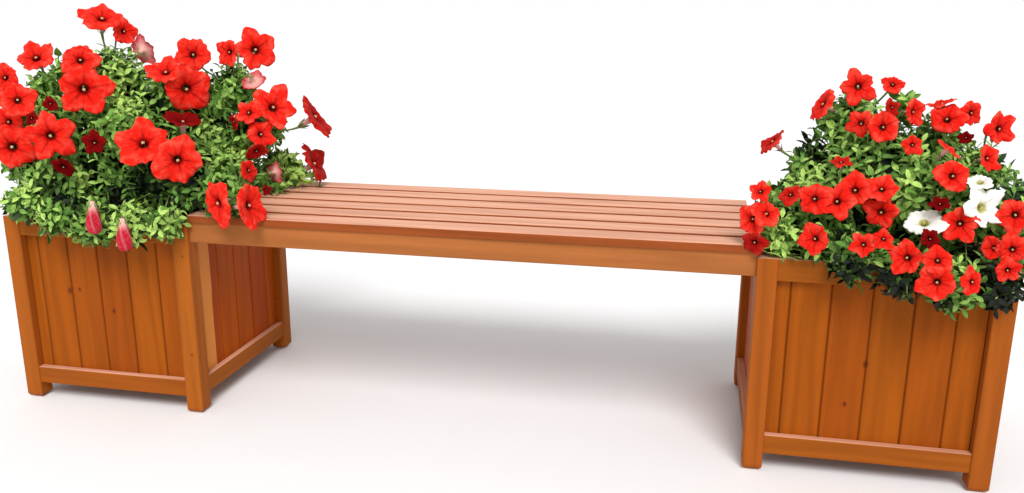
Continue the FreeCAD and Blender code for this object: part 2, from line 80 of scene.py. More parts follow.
# Clumps of foliage: across and back from the middle of the box, as shares of half the box's
# side, then height above its rim and radius in millimetres
CLUMPS = {
    "left": (
        (-0.10, 0.0, 100, 150), (-0.58, -0.48, 78, 98), (-0.56, 0.48, 112, 100), (0.53, -0.48, 75, 98),
        (0.55, 0.45, 125, 104), (-0.35, 0.05, 260, 72), (0.3, 0.08, 220, 60), (0.75, 0.48, 235, 68),
        (1.04, 0.36, 150, 72), (1.07, -0.31, 84, 60), (0.93, -0.84, 64, 50), (1.26, -0.87, 70, 44),
        (1.53, -0.93, 58, 36), (1.24, 0.53, 70, 48), (-0.88, -0.25, 185, 68), (-1.01, -0.56, 100, 60),
        (-0.5, -0.65, 175, 62), (0.13, -0.58, 170, 72), (-0.65, -1.05, 34, 48), (-0.28, -1.1, 12, 52),
        (0.13, -1.12, 0, 54), (0.5, -1.11, 2, 53), (0.83, -1.08, 12, 47), (-1.1, 0.3, 14, 52),
        (-0.45, 1.05, 20, 60), (0.1, 1.09, 8, 58), (0.6, 1.07, 14, 54),
    ),
    "right": (
        (0.0, 0.0, 82, 140), (-0.46, -0.46, 60, 90), (-0.44, 0.46, 70, 92), (0.5, -0.48, 76, 94),
        (0.55, 0.45, 100, 98), (-0.21, 0.1, 200, 68), (-0.54, 0.04, 130, 62), (0.5, 0.15, 160, 70),
        (0.86, -0.15, 132, 58), (-0.8, -0.5, 54, 50), (-0.69, 0.41, 52, 48), (0.93, -0.61, 84, 64),
        (0.23, -0.56, 108, 74), (-0.28, -1.07, 14, 48), (0.1, -1.1, -4, 54), (0.46, -1.12, -18, 56),
        (0.8, -1.1, -14, 52), (1.08, -0.6, 20, 52), (1.1, 0.25, 16, 56), (-0.48, 1.05, 16, 58),
        (0.08, 1.09, 8, 58), (0.58, 1.07, 12, 56),
    ),
}

# Small sprigs on and beside the mounds, in the same terms
SPRIGS = {
    "left": (
        (1.38, 0.6, 50, 38), (1.56, 0.72, 46, 36), (1.66, 0.78, 44, 30), (-0.25, 0.35, 210, 56),
        (-0.65, 0.35, 190, 52), (0.42, 0.3, 190, 54), (1.3, 0.2, 46, 40), (-0.94, -0.3, 246, 36),
        (-0.7, -0.3, 276, 26), (-0.08, 0.1, 262, 40), (-1.07, -0.45, 206, 36), (0.77, 0.0, 222, 40),
        (0.15, 0.1, 246, 34), (-0.15, 0.05, 222, 46), (-0.7, 0.0, 188, 50), (-0.7, -0.1, 136, 52),
        (-1.1, -0.2, 58, 46), (-0.9, -0.4, 34, 46), (1.07, 0.1, 159, 46), (-1.12, -0.2, 166, 42),
    ),
    "right": (
        (-0.84, -0.84, 36, 42), (-0.52, -0.92, 30, 42), (-0.93, -0.5, 40, 36), (-0.51, 0.0, 176, 40),
        (0.2, 0.0, 236, 26),
    ),
}

# Light and shade among the leaves in the photograph: pixels across and down, and radius
SUNLIT = {
    "left": (
        (85, 175, 16), (138, 226, 34), (180, 215, 14), (212, 122, 14), (210, 160, 12), (135, 95, 14),
        (320, 172, 24), (292, 168, 22), (22, 192, 15), (40, 214, 14), (95, 80, 10), (120, 75, 16),
        (128, 106, 16), (235, 150, 14),
    ),
    "right": (
        (788, 238, 24), (827, 247, 14), (880, 266, 12), (908, 188, 12), (812, 174, 12), (880, 100, 9),
        (935, 200, 10), (952, 270, 10), (872, 262, 10),
    ),
}
SHADED = {
    "left": (
        (155, 184, 34), (64, 196, 15), (192, 186, 17), (220, 75, 12), (117, 195, 16), (240, 120, 12),
    ),
    "right": (
        (800, 136, 26), (857, 220, 14), (847, 274, 30), (886, 284, 28), (918, 306, 38), (970, 247, 16),
        (1002, 290, 32), (910, 122, 12), (890, 158, 14), (1005, 190, 14),
    ),
}
# Places beside the mounds where the photograph shows only background
BARE = {
    "left": (
        (90, 38, 12), (68, 42, 12), (163, 40, 14), (213, 32, 12), (292, 70, 14), (312, 142, 13),
        (295, 146, 10), (335, 165, 12), (54, 240, 20),
    ),
    "right": (
        (757, 170, 20), (775, 170, 20), (782, 148, 16), (797, 134, 10), (799, 108, 12), (834, 84, 8),
        (920, 84, 14), (1000, 98, 13), (1014, 150, 20),
    ),
}

# Blooms by where they stand in the photograph: pixels across and down, width in pixels, then
# the way the face leans from the eye (degrees round from the right, degrees of lean), and its
# colour from 0, dusky with painted shade, to 1, bright
RED_BLOOMS = {
    "left": {
        "crown": (
            (102, 16, 45, 90, 48, 0.9), (125, 31, 28, 20, 45, 0.8), (35, 56, 42, 120, 35, 0.85),
            (80, 59, 38, 110, 24, 0.85), (193, 54, 37, 100, 18, 0.9), (228, 52, 30, 170, 35, 0.85),
            (256, 49, 46, 60, 15, 0.95),
        ),
        "upper": (
            (84, 90, 54, 270, 8, 1.0), (4, 77, 30, 150, 30, 0.7), (17, 99, 38, 120, 22, 0.85),
            (7, 122, 34, 180, 30, 0.8), (50, 104, 17, 200, 30, 0.12), (31, 118, 16, 160, 30, 0.1),
            (233, 122, 18, 200, 58, 0.3), (165, 70, 42, 110, 45, 0.95), (187, 90, 50, 300, 18, 1.0),
            (274, 106, 46, 60, 30, 0.9), (248, 112, 28, 140, 30, 0.75), (262, 134, 32, 20, 35, 0.9),
        ),
        "middle": (
            (50, 136, 49, 200, 8, 1.0), (11, 147, 50, 180, 15, 0.95), (142, 141, 55, 120, 30, 1.0),
            (178, 161, 50, 290, 14, 1.0), (183, 119, 44, 90, 66, 0.12), (94, 143, 25, 200, 20, 0.1),
            (63, 168, 24, 250, 45, 0.08), (257, 152, 22, 300, 50, 0.3), (250, 170, 24, 20, 60, 0.5),
            (267, 190, 12, 30, 40, 0.12),
        ),
        "hanging": (
            (215, 204, 50, 195, 50, 0.95), (252, 205, 50, 8, 72, 0.95),
        ),
        "edge on": (
            (318, 115, 50, 32, 80, 0.35), (317, 162, 48, 32, 80, 0.3),
        ),
    },
    "right": {
        "crown": (
            (858, 86, 37, 90, 8, 0.9), (893, 84, 23, 60, 25, 0.7), (861, 124, 29, 250, 10, 0.85),
            (884, 127, 35, 20, 20, 0.9), (893, 107, 20, 30, 40, 0.35), (915, 112, 31, 0, 46, 0.9),
            (947, 118, 37, 90, 30, 0.95), (973, 113, 29, 0, 38, 0.8), (1001, 129, 35, 0, 34, 0.9),
        ),
        "middle": (
            (989, 158, 31, 10, 40, 0.85), (966, 137, 16, 90, 30, 0.05), (913, 145, 22, 0, 20, 0.75),
            (841, 161, 22, 90, 60, 0.45), (954, 176, 37, 10, 24, 0.95), (949, 148, 30, 42, 60, 0.75),
            (790, 194, 24, 120, 30, 0.45), (814, 199, 35, 180, 14, 0.9), (837, 201, 38, 90, 12, 0.95),
            (855, 190, 37, 90, 8, 1.0), (882, 188, 32, 80, 30, 0.9), (940, 203, 22, 90, 50, 0.06),
        ),
        "left edge": (
            (760, 191, 24, 120, 30, 0.85), (752, 219, 34, 180, 30, 0.95), (767, 213, 32, 60, 25, 0.95),
            (754, 243, 27, 230, 30, 0.3),
        ),
        "low": (
            (881, 213, 38, 270, 12, 0.95), (814, 239, 33, 190, 34, 1.0), (863, 245, 27, 210, 15, 0.75),
            (884, 238, 24, 60, 30, 0.9), (960, 224, 38, 270, 6, 1.0), (906, 258, 38, 190, 30, 0.95),
            (938, 260, 31, 60, 20, 0.85), (937, 283, 39, 270, 14, 1.0), (974, 282, 31, 0, 38, 0.9),
            (931, 239, 22, 0, 30, 0.1), (1016, 215, 38, 0, 14, 0.95), (1013, 250, 34, 330, 14, 0.95),
            (993, 248, 26, 180, 30, 0.9), (1008, 271, 27, 300, 25, 0.7),
        ),
        "edge on": (
            (821, 103, 38, 150, 76, 0.6), (771, 140, 34, 135, 80, 0.4), (942, 102, 28, 100, 78, 0.6),
        ),
    },
}
WHITE_BLOOMS = (
    (924, 221, 42, 90, 44, 0.9), (984, 208, 45, 0, 36, 1.0), (980, 181, 29, 90, 52, 0.9),
)
# Blooms that turn their pale backs to the eye, in the same terms
PALE_BLOOMS = (
    (144, 50, 29, 30, 142, 0.3), (254, 83, 27, 300, 140, 0.3), (276, 172, 22, 10, 140, 0.3),
)
# Faded blooms that hang furled below the left rim: pixels across and down of the middle, and height
FURLED_BLOOMS = (
    (94, 217, 33), (124, 234, 33),
)

# Section of a bloom from stalk to rim: shares of its radius outward and forward
BLOOM_SECTION = (
    (0.055, -0.95), (0.075, -0.7), (0.105, -0.46), (0.15, -0.27), (0.23, -0.145), (0.36, -0.075),
    (0.54, -0.035), (0.72, -0.012), (0.87, -0.012), (0.96, -0.035), (1.0, -0.065),
)
PETALS = 5

# Section of a furled bloom from the calyx down: share of its length, share of its half width
FURLED_SECTION = (
    (0.0, 0.26), (0.1, 0.4), (0.24, 0.56), (0.4, 0.72), (0.56, 0.86), (0.7, 0.96), (0.82, 1.0),
    (0.92, 0.9), (0.98, 0.66), (1.0, 0.42),
)

# Outline of a leaf: share of its length, share of its half width
LEAF_OUTLINE = (
    (0.0, 0.1), (0.14, 0.3), (0.34, 0.85), (0.56, 1.0), (0.8, 0.64),
)

# Knots on the front boards: millimetres across from the middle of the box and above the ground
FRONT_KNOTS = {
    "left": ((-81, 232, 7), (-58, 236, 5), (14, 196, 6)),
    "right": ((-12, 206, 7), (-38, 132, 5)),
}

# Small knots in the posts, in the same terms
POST_KNOTS = {
    "left": ((186, 322, 3), (187, 124, 3)),
    "right": (),
}

# Wood grain: how far it is drawn out, then the scales of its rings, streaks and pores
GRAIN_STRETCH = 0.055
RING_SCALE = 16.0
RINGS = 11.0
STREAK_SCALE = 95.0
PORE_SCALE = 480.0
# How far the grain moves from one board to the next, and the step between the boards' numbers
BOARD_DRIFT = (9.0, 9.0, 9.0)
BOARD_NUMBER_STEP = 7.31
# The pale strip's edges: how far they stray and how soft they are; how much strip and knots show
STRIP_STRAY = 12 * MM
STRIP_EDGE = 3 * MM
MARK_STRENGTH = 0.85

# Crumbs on the soil: how many, their sizes, how far they keep from its edge, how high they lie,
# their shape, and how much their points stray
CRUMBS = 420
CRUMB_SIZES = (3 * MM, 8 * MM)
CRUMB_EDGE = 12 * MM
CRUMB_HEIGHT = 0.35
CRUMB_SHAPE = (1.5, 1.0, 0.6)
CRUMB_LUMPS = (0.75, 1.1)

# How far shoots, their tips and their leaves keep from the wood, and shoots from other clumps' skins
SHOOT_GAP = 4 * MM
SHOOT_OVERLAP = 4 * MM
TIP_GAP = 5 * MM
LEAF_GAP = 2 * MM

# Shoots that end lower than this above the rim hang over it
HANGING_HEIGHT = 30 * MM
# Share of the shoots left out in the shade, above the rim and hanging over it
THINNED_ABOVE = 0.95
THINNED_HANGING = 0.1
# How much lighter leaves are in the sun, how much darker in the shade, and how far into a spot,
# as a share of its radius, both are reached in full
SUN_GAIN = 0.62
SHADE_LOSS = 0.85
SPOT_EDGE = 0.5

# Leaves inside the mound, darkened with painted shade: how much darker they are, the radius of a
# clump that darkens them in full, and how sharply that grows with the radius
DEEP_LIGHT = -0.35
DEEP_RADIUS = 0.1
DEEP_CURVE = 1.5
# Spacing of the shoots inside the mound, beside those outside
DEEP_SPACING = 1.3

# Shoots that fill the box to its rim: how far inside it they start, in posts, their height above
# it, its changes, how far they stray, how deep in a clump they may stand, and their height share
RIM_INSET = 0.6
RIM_HEIGHT = 58 * MM
RIM_HEIGHTS = (-14 * MM, 18 * MM)
RIM_STRAY = (-8 * MM, 8 * MM)
RIM_DEPTH = 20 * MM
RIM_GROWTH = 0.3

# Inner growth: how far inside the clumps it ends, the smallest sprig that has any, and its lumps
GROWTH_INSET = 40 * MM
GROWTH_LEAST = 0.35
GROWTH_SPRIG = 45 * MM
GROWTH_GRAIN = 9 * MM
GROWTH_LUMPS = ((38.0, 12 * MM), (95.0, 6 * MM))

# Shoots: how much they turn upwards, at the mound's foot and more at its top, changes of their way,
# length, depth and bend, how much less deep they stand where the eye looks at them squarely, how
# much of their length goes back along them and how much straight inwards, and their stems' radii
SHOOT_RISE = 0.15
SHOOT_RISE_ON_TOP = 0.5
SHOOT_STRAY = 0.38
SHOOT_LENGTHS = (0.75, 1.25)
SHOOT_DEPTHS = (0.6, 1.5)
SHOOT_BENDS = (-0.08, 0.08)
SHOOT_SQUARE = 0.8
SHOOT_BACK = 0.85
SHOOT_INWARD = 0.15
STEM_RADII = (1.7 * MM, 1.6 * MM, 1.4 * MM, 1.2 * MM, 0.8 * MM)
# Shares of a stem that mustn't cover a bloom, and the share of hidden leaves that ends a shoot
STEM_CHECKS = (0.1, 0.55, 1.0)
HIDDEN_LEAVES = 0.4

# Leaves: where the lowest stands on its stem, the turn from one to the next, how far they open
# at the stem's foot and how much less at its tip, in degrees, their size at the foot and how much
# less at the tip, their changes, and the share of their length at which they are tested
LOWEST_LEAF = 0.15
LEAF_TURN = math.radians(137.5)
LEAF_OPEN = 86
LEAF_CLOSING = 42
LEAF_OPEN_CHANGES = (-24, 24)
LEAF_SIZE = 1.08
LEAF_SIZE_LOSS = 0.5
LEAF_SIZES = (0.8, 1.15)
LEAF_WIDTHS = (0.85, 1.15)
LEAF_DROOPS = (0.25, 0.9)
LEAF_FOLDS = (0.1, 0.5)
LEAF_REACH = 0.85
# Tint of a leaf: the least, then what it gains to the stem's tip, by chance and up the mound
LEAF_TINT = 0.12
LEAF_TINT_TIP = 0.36
LEAF_TINT_CHANCE = 0.36
LEAF_TINT_HEIGHT = 0.16

# A leaf covers a bloom from this far behind its face to this far before it, over this share of
# its radius and this much beyond; it screens one up to this share further from the eye
COVER_BEHIND = 14 * MM
COVER_BEFORE = 40 * MM
COVER_SHARE = 0.92
COVER_BEYOND = 6 * MM
SCREEN_REACH = 1.1
SCREEN_SHARE = 0.96
# Blooms further from a shoot's tip than this aren't covered, or aren't screened
COVER_RANGE = 0.16
SCREEN_RANGE = 0.24

# A bloom is hidden if clumps this much smaller stand before these points of its rim, given
# to the right and up from its middle
HIDING_INSET = 12 * MM
RIM_POINTS = ((-0.045, 0), (0.045, 0), (0, 0.045), (0.03, 0.03), (-0.03, 0.03))
# Seams of a solid's mesh that close, a bloom's radius beside that of its solid, and its tints
SEAM = 0.01 * MM
BLOOM_SHARE = 0.96
HIDDEN_TINTS = (0.6, 1.0)

# Points round a bloom and round a furled one
BLOOM_COLUMNS = 12 * PETALS
FURLED_COLUMNS = 6 * PETALS
# Changes from bloom to bloom, as shares of its radius: droop of one side, cup, ruffles, lengths
# and bends of the petals, and how many waves run round the rim
BLOOM_FLOPS = (0.0, 0.16)
BLOOM_CUPS = (-0.03, 0.16)
BLOOM_RUFFLES = (0.05, 0.13)
PETAL_LENGTHS = (0.8, 1.06)
PETAL_BENDS = (-0.3, 0.14)
RIM_WAVES = (11, 17)
# The rim, in the same terms: how sharply its notches cut in, how much longer one side is, how far
# its waves go outward and forward, and the point on each petal with how narrow that is
NOTCH_CURVE = 1.3
LONG_SIDE = 0.05
WAVE_OUT = 0.03
WAVE_FORWARD = 0.045
PETAL_POINT = 0.07
POINT_NARROWNESS = 9
# How deep the petals of red and of white blooms are notched, in the same terms
RED_NOTCHES = (0.14, 0.36)
WHITE_NOTCHES = (0.2, 0.42)
# Anthers round a stigma, in the same terms: how deep they stand, radius of their ring, their own
# radius and the stigma's
ANTHER_DEPTH = 0.12
ANTHER_RING = 0.042
ANTHER_RADIUS = 0.025
STIGMA_RADIUS = 0.03
# Tube and sepals, in the same terms: length of the tube, then the sepals' distance from its axis,
# how far behind the tube they start, their length and their width
TUBE_LENGTH = 0.95
SEPAL_OFFSET = 0.035
SEPAL_BACK = 0.04
SEPAL_LENGTH = 0.48
SEPAL_WIDTH = 0.12
# Sepals: how far they spread and tilt, beside the way of the tube, their droop, fold and tint
SEPAL_SPREAD = 0.45
SEPAL_TILT = 0.3
SEPAL_DROOP = -0.25
SEPAL_FOLD = 0.2
SEPAL_TINT = 0.45
# How far a furled bloom stands off the foliage and its width beside its height; how far it leans
# sideways and forward; how high its folds are and how soon they run out; its twist and first turn
FURLED_STAND = 12 * MM
FURLED_WIDTH = 0.43
FURLED_LEANS = (-0.1, 0.1)
FURLED_FORWARD = -0.1
FOLD_HEIGHT = 0.2
FOLD_END = 1.1
FURLED_TWIST = 1.1
FURLED_TURN = 0.6
# Stalks: how far they end inside the mound, the share left of one that would end in the wood, how
# far they start inside the tube, how much they sag back along it, down, and beside their length,
# and their radii from the bloom down
STALK_DEPTH = 30 * MM
STALK_LEFT = 0.4
STALK_OVERLAP = 0.02
STALK_BACK = 0.4
STALK_DOWN = 0.25
STALK_SAG = 0.25
STALK_RADII = (2.8 * MM, 2.1 * MM, 1.8 * MM, 1.7 * MM, 1.8 * MM, 1.9 * MM)

# Where the key light hangs; it points at the middle of the bench
KEY_PLACE = (0.9, -3.0, 3.5)


def srgb(red, green, blue):
    """Linear colour from the three numbers that a paint program shows."""
    shares = [value / 255 for value in (red, green, blue)]
    return tuple(s / 12.92 if s <= 0.04045 else ((s + 0.055) / 1.055) ** 2.4 for s in shares)


def scaled(colour, share=1.0):
    """Opaque colour, made darker or lighter by a share."""
    return (colour[0] * share, colour[1] * share, colour[2] * share, 1.0)


def colour_setting(name, description, default):
    """Property for a colour."""
    return bpy.props.FloatVectorProperty(
        name=name, description=description, default=default, subtype="COLOR", size=3, min=0.0, max=1.0
    )


def length_setting(name, description, default, low=0.0, high=10.0):
    """Property for a length in metres."""
    return bpy.props.FloatProperty(
        name=name, description=description, default=default, unit="LENGTH", min=low, max=high, precision=4
    )


def share_setting(name, description, default, low=0.0, high=1.0):
    """Property for a number without a unit."""
    return bpy.props.FloatProperty(name=name, description=description, default=default, min=low, max=high)


def side_setting():
    """Property for the end of the bench that a box stands at."""
    items = [(side, side.title(), "") for side in BOX_SIDES]
    return bpy.props.EnumProperty(name="Side", description="Which box", items=items)


class BENCH_PG_wood(bpy.types.PropertyGroup):
    """Stained softwood of the boxes and the seat"""

    board: colour_setting("Boards", "Stain of the tongued boards", srgb(151, 74, 14))
    post: colour_setting("Posts", "Stain of the posts", srgb(158, 83, 25))
    rail: colour_setting("Rails", "Stain of the rails", srgb(152, 81, 22))
    apron: colour_setting("Aprons", "Stain of the seat's aprons and bearers", srgb(169, 102, 53))
    slat: colour_setting("Slats", "Stain of the seat slats", srgb(146, 74, 34))
    # Painted sheen: the pale colour that faces looking up are blended toward, for the sky reflected in the
    # oiled wood
    top_sheen_colour: colour_setting("Sheen", "Wood that the sun has paled from above", srgb(226, 168, 140))
    # Painted light: a lighter, redder copy of the board stain for the boards that face the seat, tuned to the
    # shade they stand in
    inner: colour_setting("Inner boards", "Stain of the boards towards the seat", srgb(166, 72, 2))
    sapwood: colour_setting("Sapwood", "Pale strip in one of the boards", srgb(226, 148, 70))
    knot: colour_setting("Knots", "Knots in the front boards", srgb(92, 40, 16))
    streak: share_setting("Streaks", "Strength of the grain's light and dark", 0.3)
    board_change: share_setting("Board change", "How far one board differs from the next", 0.1)
    groove: share_setting("Grooves", "How dark the joints between boards are", 0.4)
    relief: share_setting("Relief", "Strength of the grain's relief", 0.25)


class BENCH_PG_planting(bpy.types.PropertyGroup):
    """Leaves, stems, soil and liner"""

    # Painted shade: the near-black leaf colour for leaves deep in the mound and in the shade
    leaf_dark: colour_setting("Shadowed leaves", "Leaves deep in the mound", srgb(8, 20, 8))
    leaf: colour_setting("Leaves", "Leaves on the outside", srgb(98, 146, 54))
    # The colour of young leaves, which is also the painted sunlight on leaves in the sun
    young_and_sunlit_leaf: colour_setting("Young leaves", "Leaves at the shoots' tips", srgb(178, 214, 106))
    stem: colour_setting("Stems", "Stems and stalks", srgb(96, 128, 54))
    soil: colour_setting("Soil", "Potting soil", srgb(52, 36, 25))
    liner: colour_setting("Liner", "Black plastic liner", srgb(28, 28, 28))
    leaf_length: length_setting("Leaf length", "Length of a full-grown leaf", 0.032)
    leaf_width: length_setting("Leaf width", "Width of a full-grown leaf", 0.0138)
    shoot_length: length_setting("Shoot length", "Length of a leafy shoot", 0.06)
    shoot_spacing: length_setting("Shoot spacing", "Between neighbouring shoots", 0.027)
    inset: length_setting("Inset", "How far shoots end inside the mound's outline", 0.019)
    deep_share: share_setting("Deep share", "How far out the inner layer of shoots starts", 0.72)
    leaves: bpy.props.IntProperty(
        name="Leaves", description="Leaves on each shoot", default=11, min=3, max=30
    )
    seed: bpy.props.IntProperty(name="Seed", description="Seed of the planting's chances", default=7)


class BENCH_PG_blooms(bpy.types.PropertyGroup):
    """Petunia blooms"""

    red: colour_setting("Red", "Face of a fresh bloom", srgb(242, 34, 22))
    red_light: colour_setting("Light red", "Lobes of a fresh bloom where the light falls", srgb(255, 92, 72))
    # Painted shade: the dark red given to blooms that stand in the shade
    dusky: colour_setting("Dusky red", "Face of a shaded or fading bloom", srgb(112, 3, 6))
    red_back: colour_setting("Red back", "Back of a red bloom at its rim", srgb(186, 40, 52))
    pale_back: colour_setting("Pale back", "Back of a red bloom at its tube", srgb(232, 178, 168))
    furled: colour_setting("Furled", "Folds of a furled bloom", srgb(186, 10, 44))
    throat: colour_setting("Throat", "Inside of a red bloom's tube", srgb(238, 206, 160))
    white: colour_setting("White", "Face of a white bloom", srgb(250, 248, 238))
    white_throat: colour_setting("White throat", "Inside of a white bloom's tube", srgb(206, 206, 96))
    anther: colour_setting("Anthers", "Anthers in a throat", srgb(240, 212, 160))
    stand: length_setting("Stand", "How far a bloom's face stands off the foliage", 0.024)
    stand_in_front: length_setting("Stand in front", "The same before the seat's end", 0.07)
    back_spacing: length_setting("Spacing behind", "From a bloom photographed to one that it hides", 0.06)
    petal_thickness: length_setting("Petal thickness", "Thickness of a petal", 0.0007)


class BENCH_PG_stage(bpy.types.PropertyGroup):
    """Camera, floor and light"""

    camera_place: bpy.props.FloatVectorProperty(
        name="Camera place", description="Where the camera stands", default=(0.4045, -1.6318, 0.7542),
        subtype="TRANSLATION", unit="LENGTH", size=3,
    )
    camera_turn: bpy.props.FloatVectorProperty(
        name="Camera turn", description="The camera's turns about X, Y and Z",
        default=(math.radians(75.5968), math.radians(-0.26286), math.radians(11.82259)),
        subtype="EULER", unit="ROTATION", size=3,
    )
    camera_lens: bpy.props.FloatProperty(
        name="Lens", description="Focal length on a 36 mm film", default=30.695, unit="CAMERA", min=1.0
    )
    floor: colour_setting("Floor", "Pale studio floor", (0.86, 0.86, 0.86))
    floor_radius: length_setting("Floor radius", "Radius of the floor", 60.0, 1.0, 200.0)
    key_strength: share_setting("Key light", "Strength of the soft light from the front", 2.55, 0.0, 20.0)
    key_spread: bpy.props.FloatProperty(
        name="Key spread", description="Angle that the key light fills",
        default=math.radians(28), unit="ROTATION",
    )
    sky_low: share_setting("Sky at the horizon", "Brightness of the background at eye level", 1.0, 0.0, 4.0)
    sky_high: share_setting("Sky overhead", "Brightness of the background overhead", 0.7, 0.0, 4.0)
    sky_right: share_setting("Sky at the right", "Share of brightness left on the shaded side", 0.7)


# Shared node and mesh helpers


class Nodes:
    """A tree of shader nodes, with the steps that the finishes share."""

    def __init__(self, tree):
        self.tree = tree

    def feed(self, socket, value):
        """Link a socket to another one, or set its number or colour."""
        if isinstance(value, bpy.types.NodeSocket):
            self.tree.links.new(value, socket)
        else:
            socket.default_value = value

    def add(self, kind, values=None, **settings):
        """Outputs of a new node whose inputs are fed from values."""
        made = self.tree.nodes.new(f"ShaderNode{kind}")
        for name, value in settings.items():
            setattr(made, name, value)
        for name, value in (values or {}).items():
            self.feed(made.inputs[name], value)
        return made.outputs

    def maths(self, operation, first, second=0.0, third=0.0):
        """Result of a calculation on numbers or sockets."""
        return self.add("Math", {0: first, 1: second, 2: third}, operation=operation)[0]

    def plus(self, first, second):
        """Sum of two numbers."""
        return self.maths("ADD", first, second)

    def minus(self, first, second):
        """Difference of two numbers."""
        return self.maths("SUBTRACT", first, second)

    def times(self, first, second):
        """Product of two numbers."""
        return self.maths("MULTIPLY", first, second)

    def times_plus(self, first, second, third):
        """Product of two numbers and a third one added."""
        return self.maths("MULTIPLY_ADD", first, second, third)

    def larger(self, first, second):
        """The larger of two numbers."""
        return self.maths("MAXIMUM", first, second)

    def zigzag(self, value, height):
        """Value that climbs to a height and back to nothing, again and again."""
        return self.maths("PINGPONG", value, height)

    def smooth(self, value, low, high, start=0.0, end=1.0):
        """Value taken smoothly from one range to another."""
        values = {"Value": value, "From Min": low, "From Max": high, "To Min": start, "To Max": end}
        return self.add("MapRange", values, interpolation_type="SMOOTHSTEP")["Result"]

    def blend(self, share, first, second):
        """Mix of two colours."""
        values = {0: share, 6: first, 7: second}
        return self.add("Mix", values, data_type="RGBA", clamp_factor=True)[2]

    def cloud(self, place, scale, detail=3.0, roughness=0.55):
        """Noise of a scale at a place."""
        values = {"Vector": place, "Scale": scale, "Detail": detail, "Roughness": roughness}
        return self.add("TexNoise", values)["Fac"]

    def vector(self, operation, first, second):
        """Result of a calculation on vectors."""
        return self.add("VectorMath", {0: first, 1: second}, operation=operation)[0]

    def parts(self, vector):
        """The X, Y and Z of a vector."""
        return self.add("SeparateXYZ", {"Vector": vector})


class Finish(Nodes):
    """A material with its shader."""

    def __init__(self, name, roughness, specular=0.5):
        self.material = bpy.data.materials.new(name)
        self.material.use_nodes = True
        super().__init__(self.material.node_tree)
        self.shader = self.tree.nodes["Principled BSDF"]
        self.set("Roughness", roughness)
        self.set("Specular IOR Level", specular)

    def set(self, name, value):
        """Feed one of the shader's inputs."""
        self.feed(self.shader.inputs[name], value)

    def place(self):
        """The row frame's coordinates."""
        return self.add("TexCoord")["Object"]

    def shape(self):
        """The two coordinates of a leaf or petal, apart."""
        parts = self.parts(self.add("UVMap", uv_map="Shape")["UV"])
        return parts["X"], parts["Y"]

    def tint(self):
        """The number between 0 and 1 that each leaf or bloom has of its own."""
        return self.add("Attribute", attribute_name="tint")["Fac"]

    def paint(self, colour):
        """Give the surface its colour."""
        self.set("Base Color", colour)

    def relief(self, height, strength, depth):
        """Raise the surface by a height."""
        values = {"Height": height, "Strength": strength, "Distance": depth}
        self.set("Normal", self.add("Bump", values)["Normal"])


def new_object(name, data):
    """Object in the scene with the given data."""
    made = bpy.data.objects.new(name, data)
    bpy.context.scene.collection.objects.link(made)
    return made


def mesh_of(name, shape):
    """Mesh of a shape under construction, which ends there."""
    mesh = bpy.data.meshes.new(name)
    shape.to_mesh(mesh)
    shape.free()
    return mesh


class Pile:
    """Points and faces of many like pieces, gathered before they become one mesh."""

    def __init__(self):
        self.points = []
        self.faces = []
        self.places = []
        self.tints = []

    def add(self, points, faces, places, tint):
        """Add one piece: its faces count from its own first point, with a place for each corner."""
        first = len(self.points)
        self.points.extend(points)
        self.faces.extend([tuple(first + corner for corner in face) for face in faces])
        self.places.extend(places)
        self.tints.extend([tint] * len(faces))

    def make(self, name, *finishes):
        """One object of everything added."""
        mesh = bpy.data.meshes.new(name)
        mesh.from_pydata([tuple(point) for point in self.points], [], self.faces)
        layer = mesh.uv_layers.new(name="Shape")
        layer.data.foreach_set("uv", [number for place in self.places for number in place])
        tint = mesh.attributes.new("tint", "FLOAT", "FACE")
        tint.data.foreach_set("value", self.tints)
        mesh.polygons.foreach_set("use_smooth", [True] * len(self.faces))
        for finish in finishes:
            mesh.materials.append(finish)
        mesh.update()
        return new_object(name, mesh)


def take_place(piece, slot, *replaced):
    """Ride on the frame, hiding the CAD pieces that this one stands for; the slot is not used."""
    if replaced:
        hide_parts(*replaced)
    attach(piece, "root")
    return piece


def turned(way, toward, angle):
    """A direction turned by an angle toward another one that is square to it."""
    return way * math.cos(angle) + toward * math.sin(angle)


def angles_round(count):
    """Angles spread evenly over a whole turn."""
    return [TURN * i / count for i in range(count)]


def across_of(way):
    """Two directions square to a direction and to each other."""
    helper = UP if abs(way.z) < STEEP else RIGHT
    side = way.cross(helper).normalized()
    return side, way.cross(side).normalized()


def spiral_ways(radius, spacing):
    """Directions from the middle of a ball that spread evenly over its skin, a spacing apart."""
    golden = math.pi * (3 - math.sqrt(5))
    count = int(2 * TURN * radius * radius / spacing**2)
    ways = []
    for i in range(count):
        height = 1 - 2 * (i + 0.5) / count
        flat = math.sqrt(1 - height * height)
        ways.append(Vector((flat * math.cos(golden * i), flat * math.sin(golden * i), height)))
    return ways


def ring_faces(shares, columns):
    """Faces between rings of points, and the place of each corner: share along, then share round."""
    faces = []
    places = []
    for i, (start, stop) in enumerate(zip(shares, shares[1:])):
        low, high = i * columns, (i + 1) * columns
        for j in range(columns):
            following = (j + 1) % columns
            faces.append((low + j, high + j, high + following, low + following))
            turn, next_turn = j / columns, (j + 1) / columns
            places += [(start, turn), (stop, turn), (stop, next_turn), (start, next_turn)]
    return faces, places


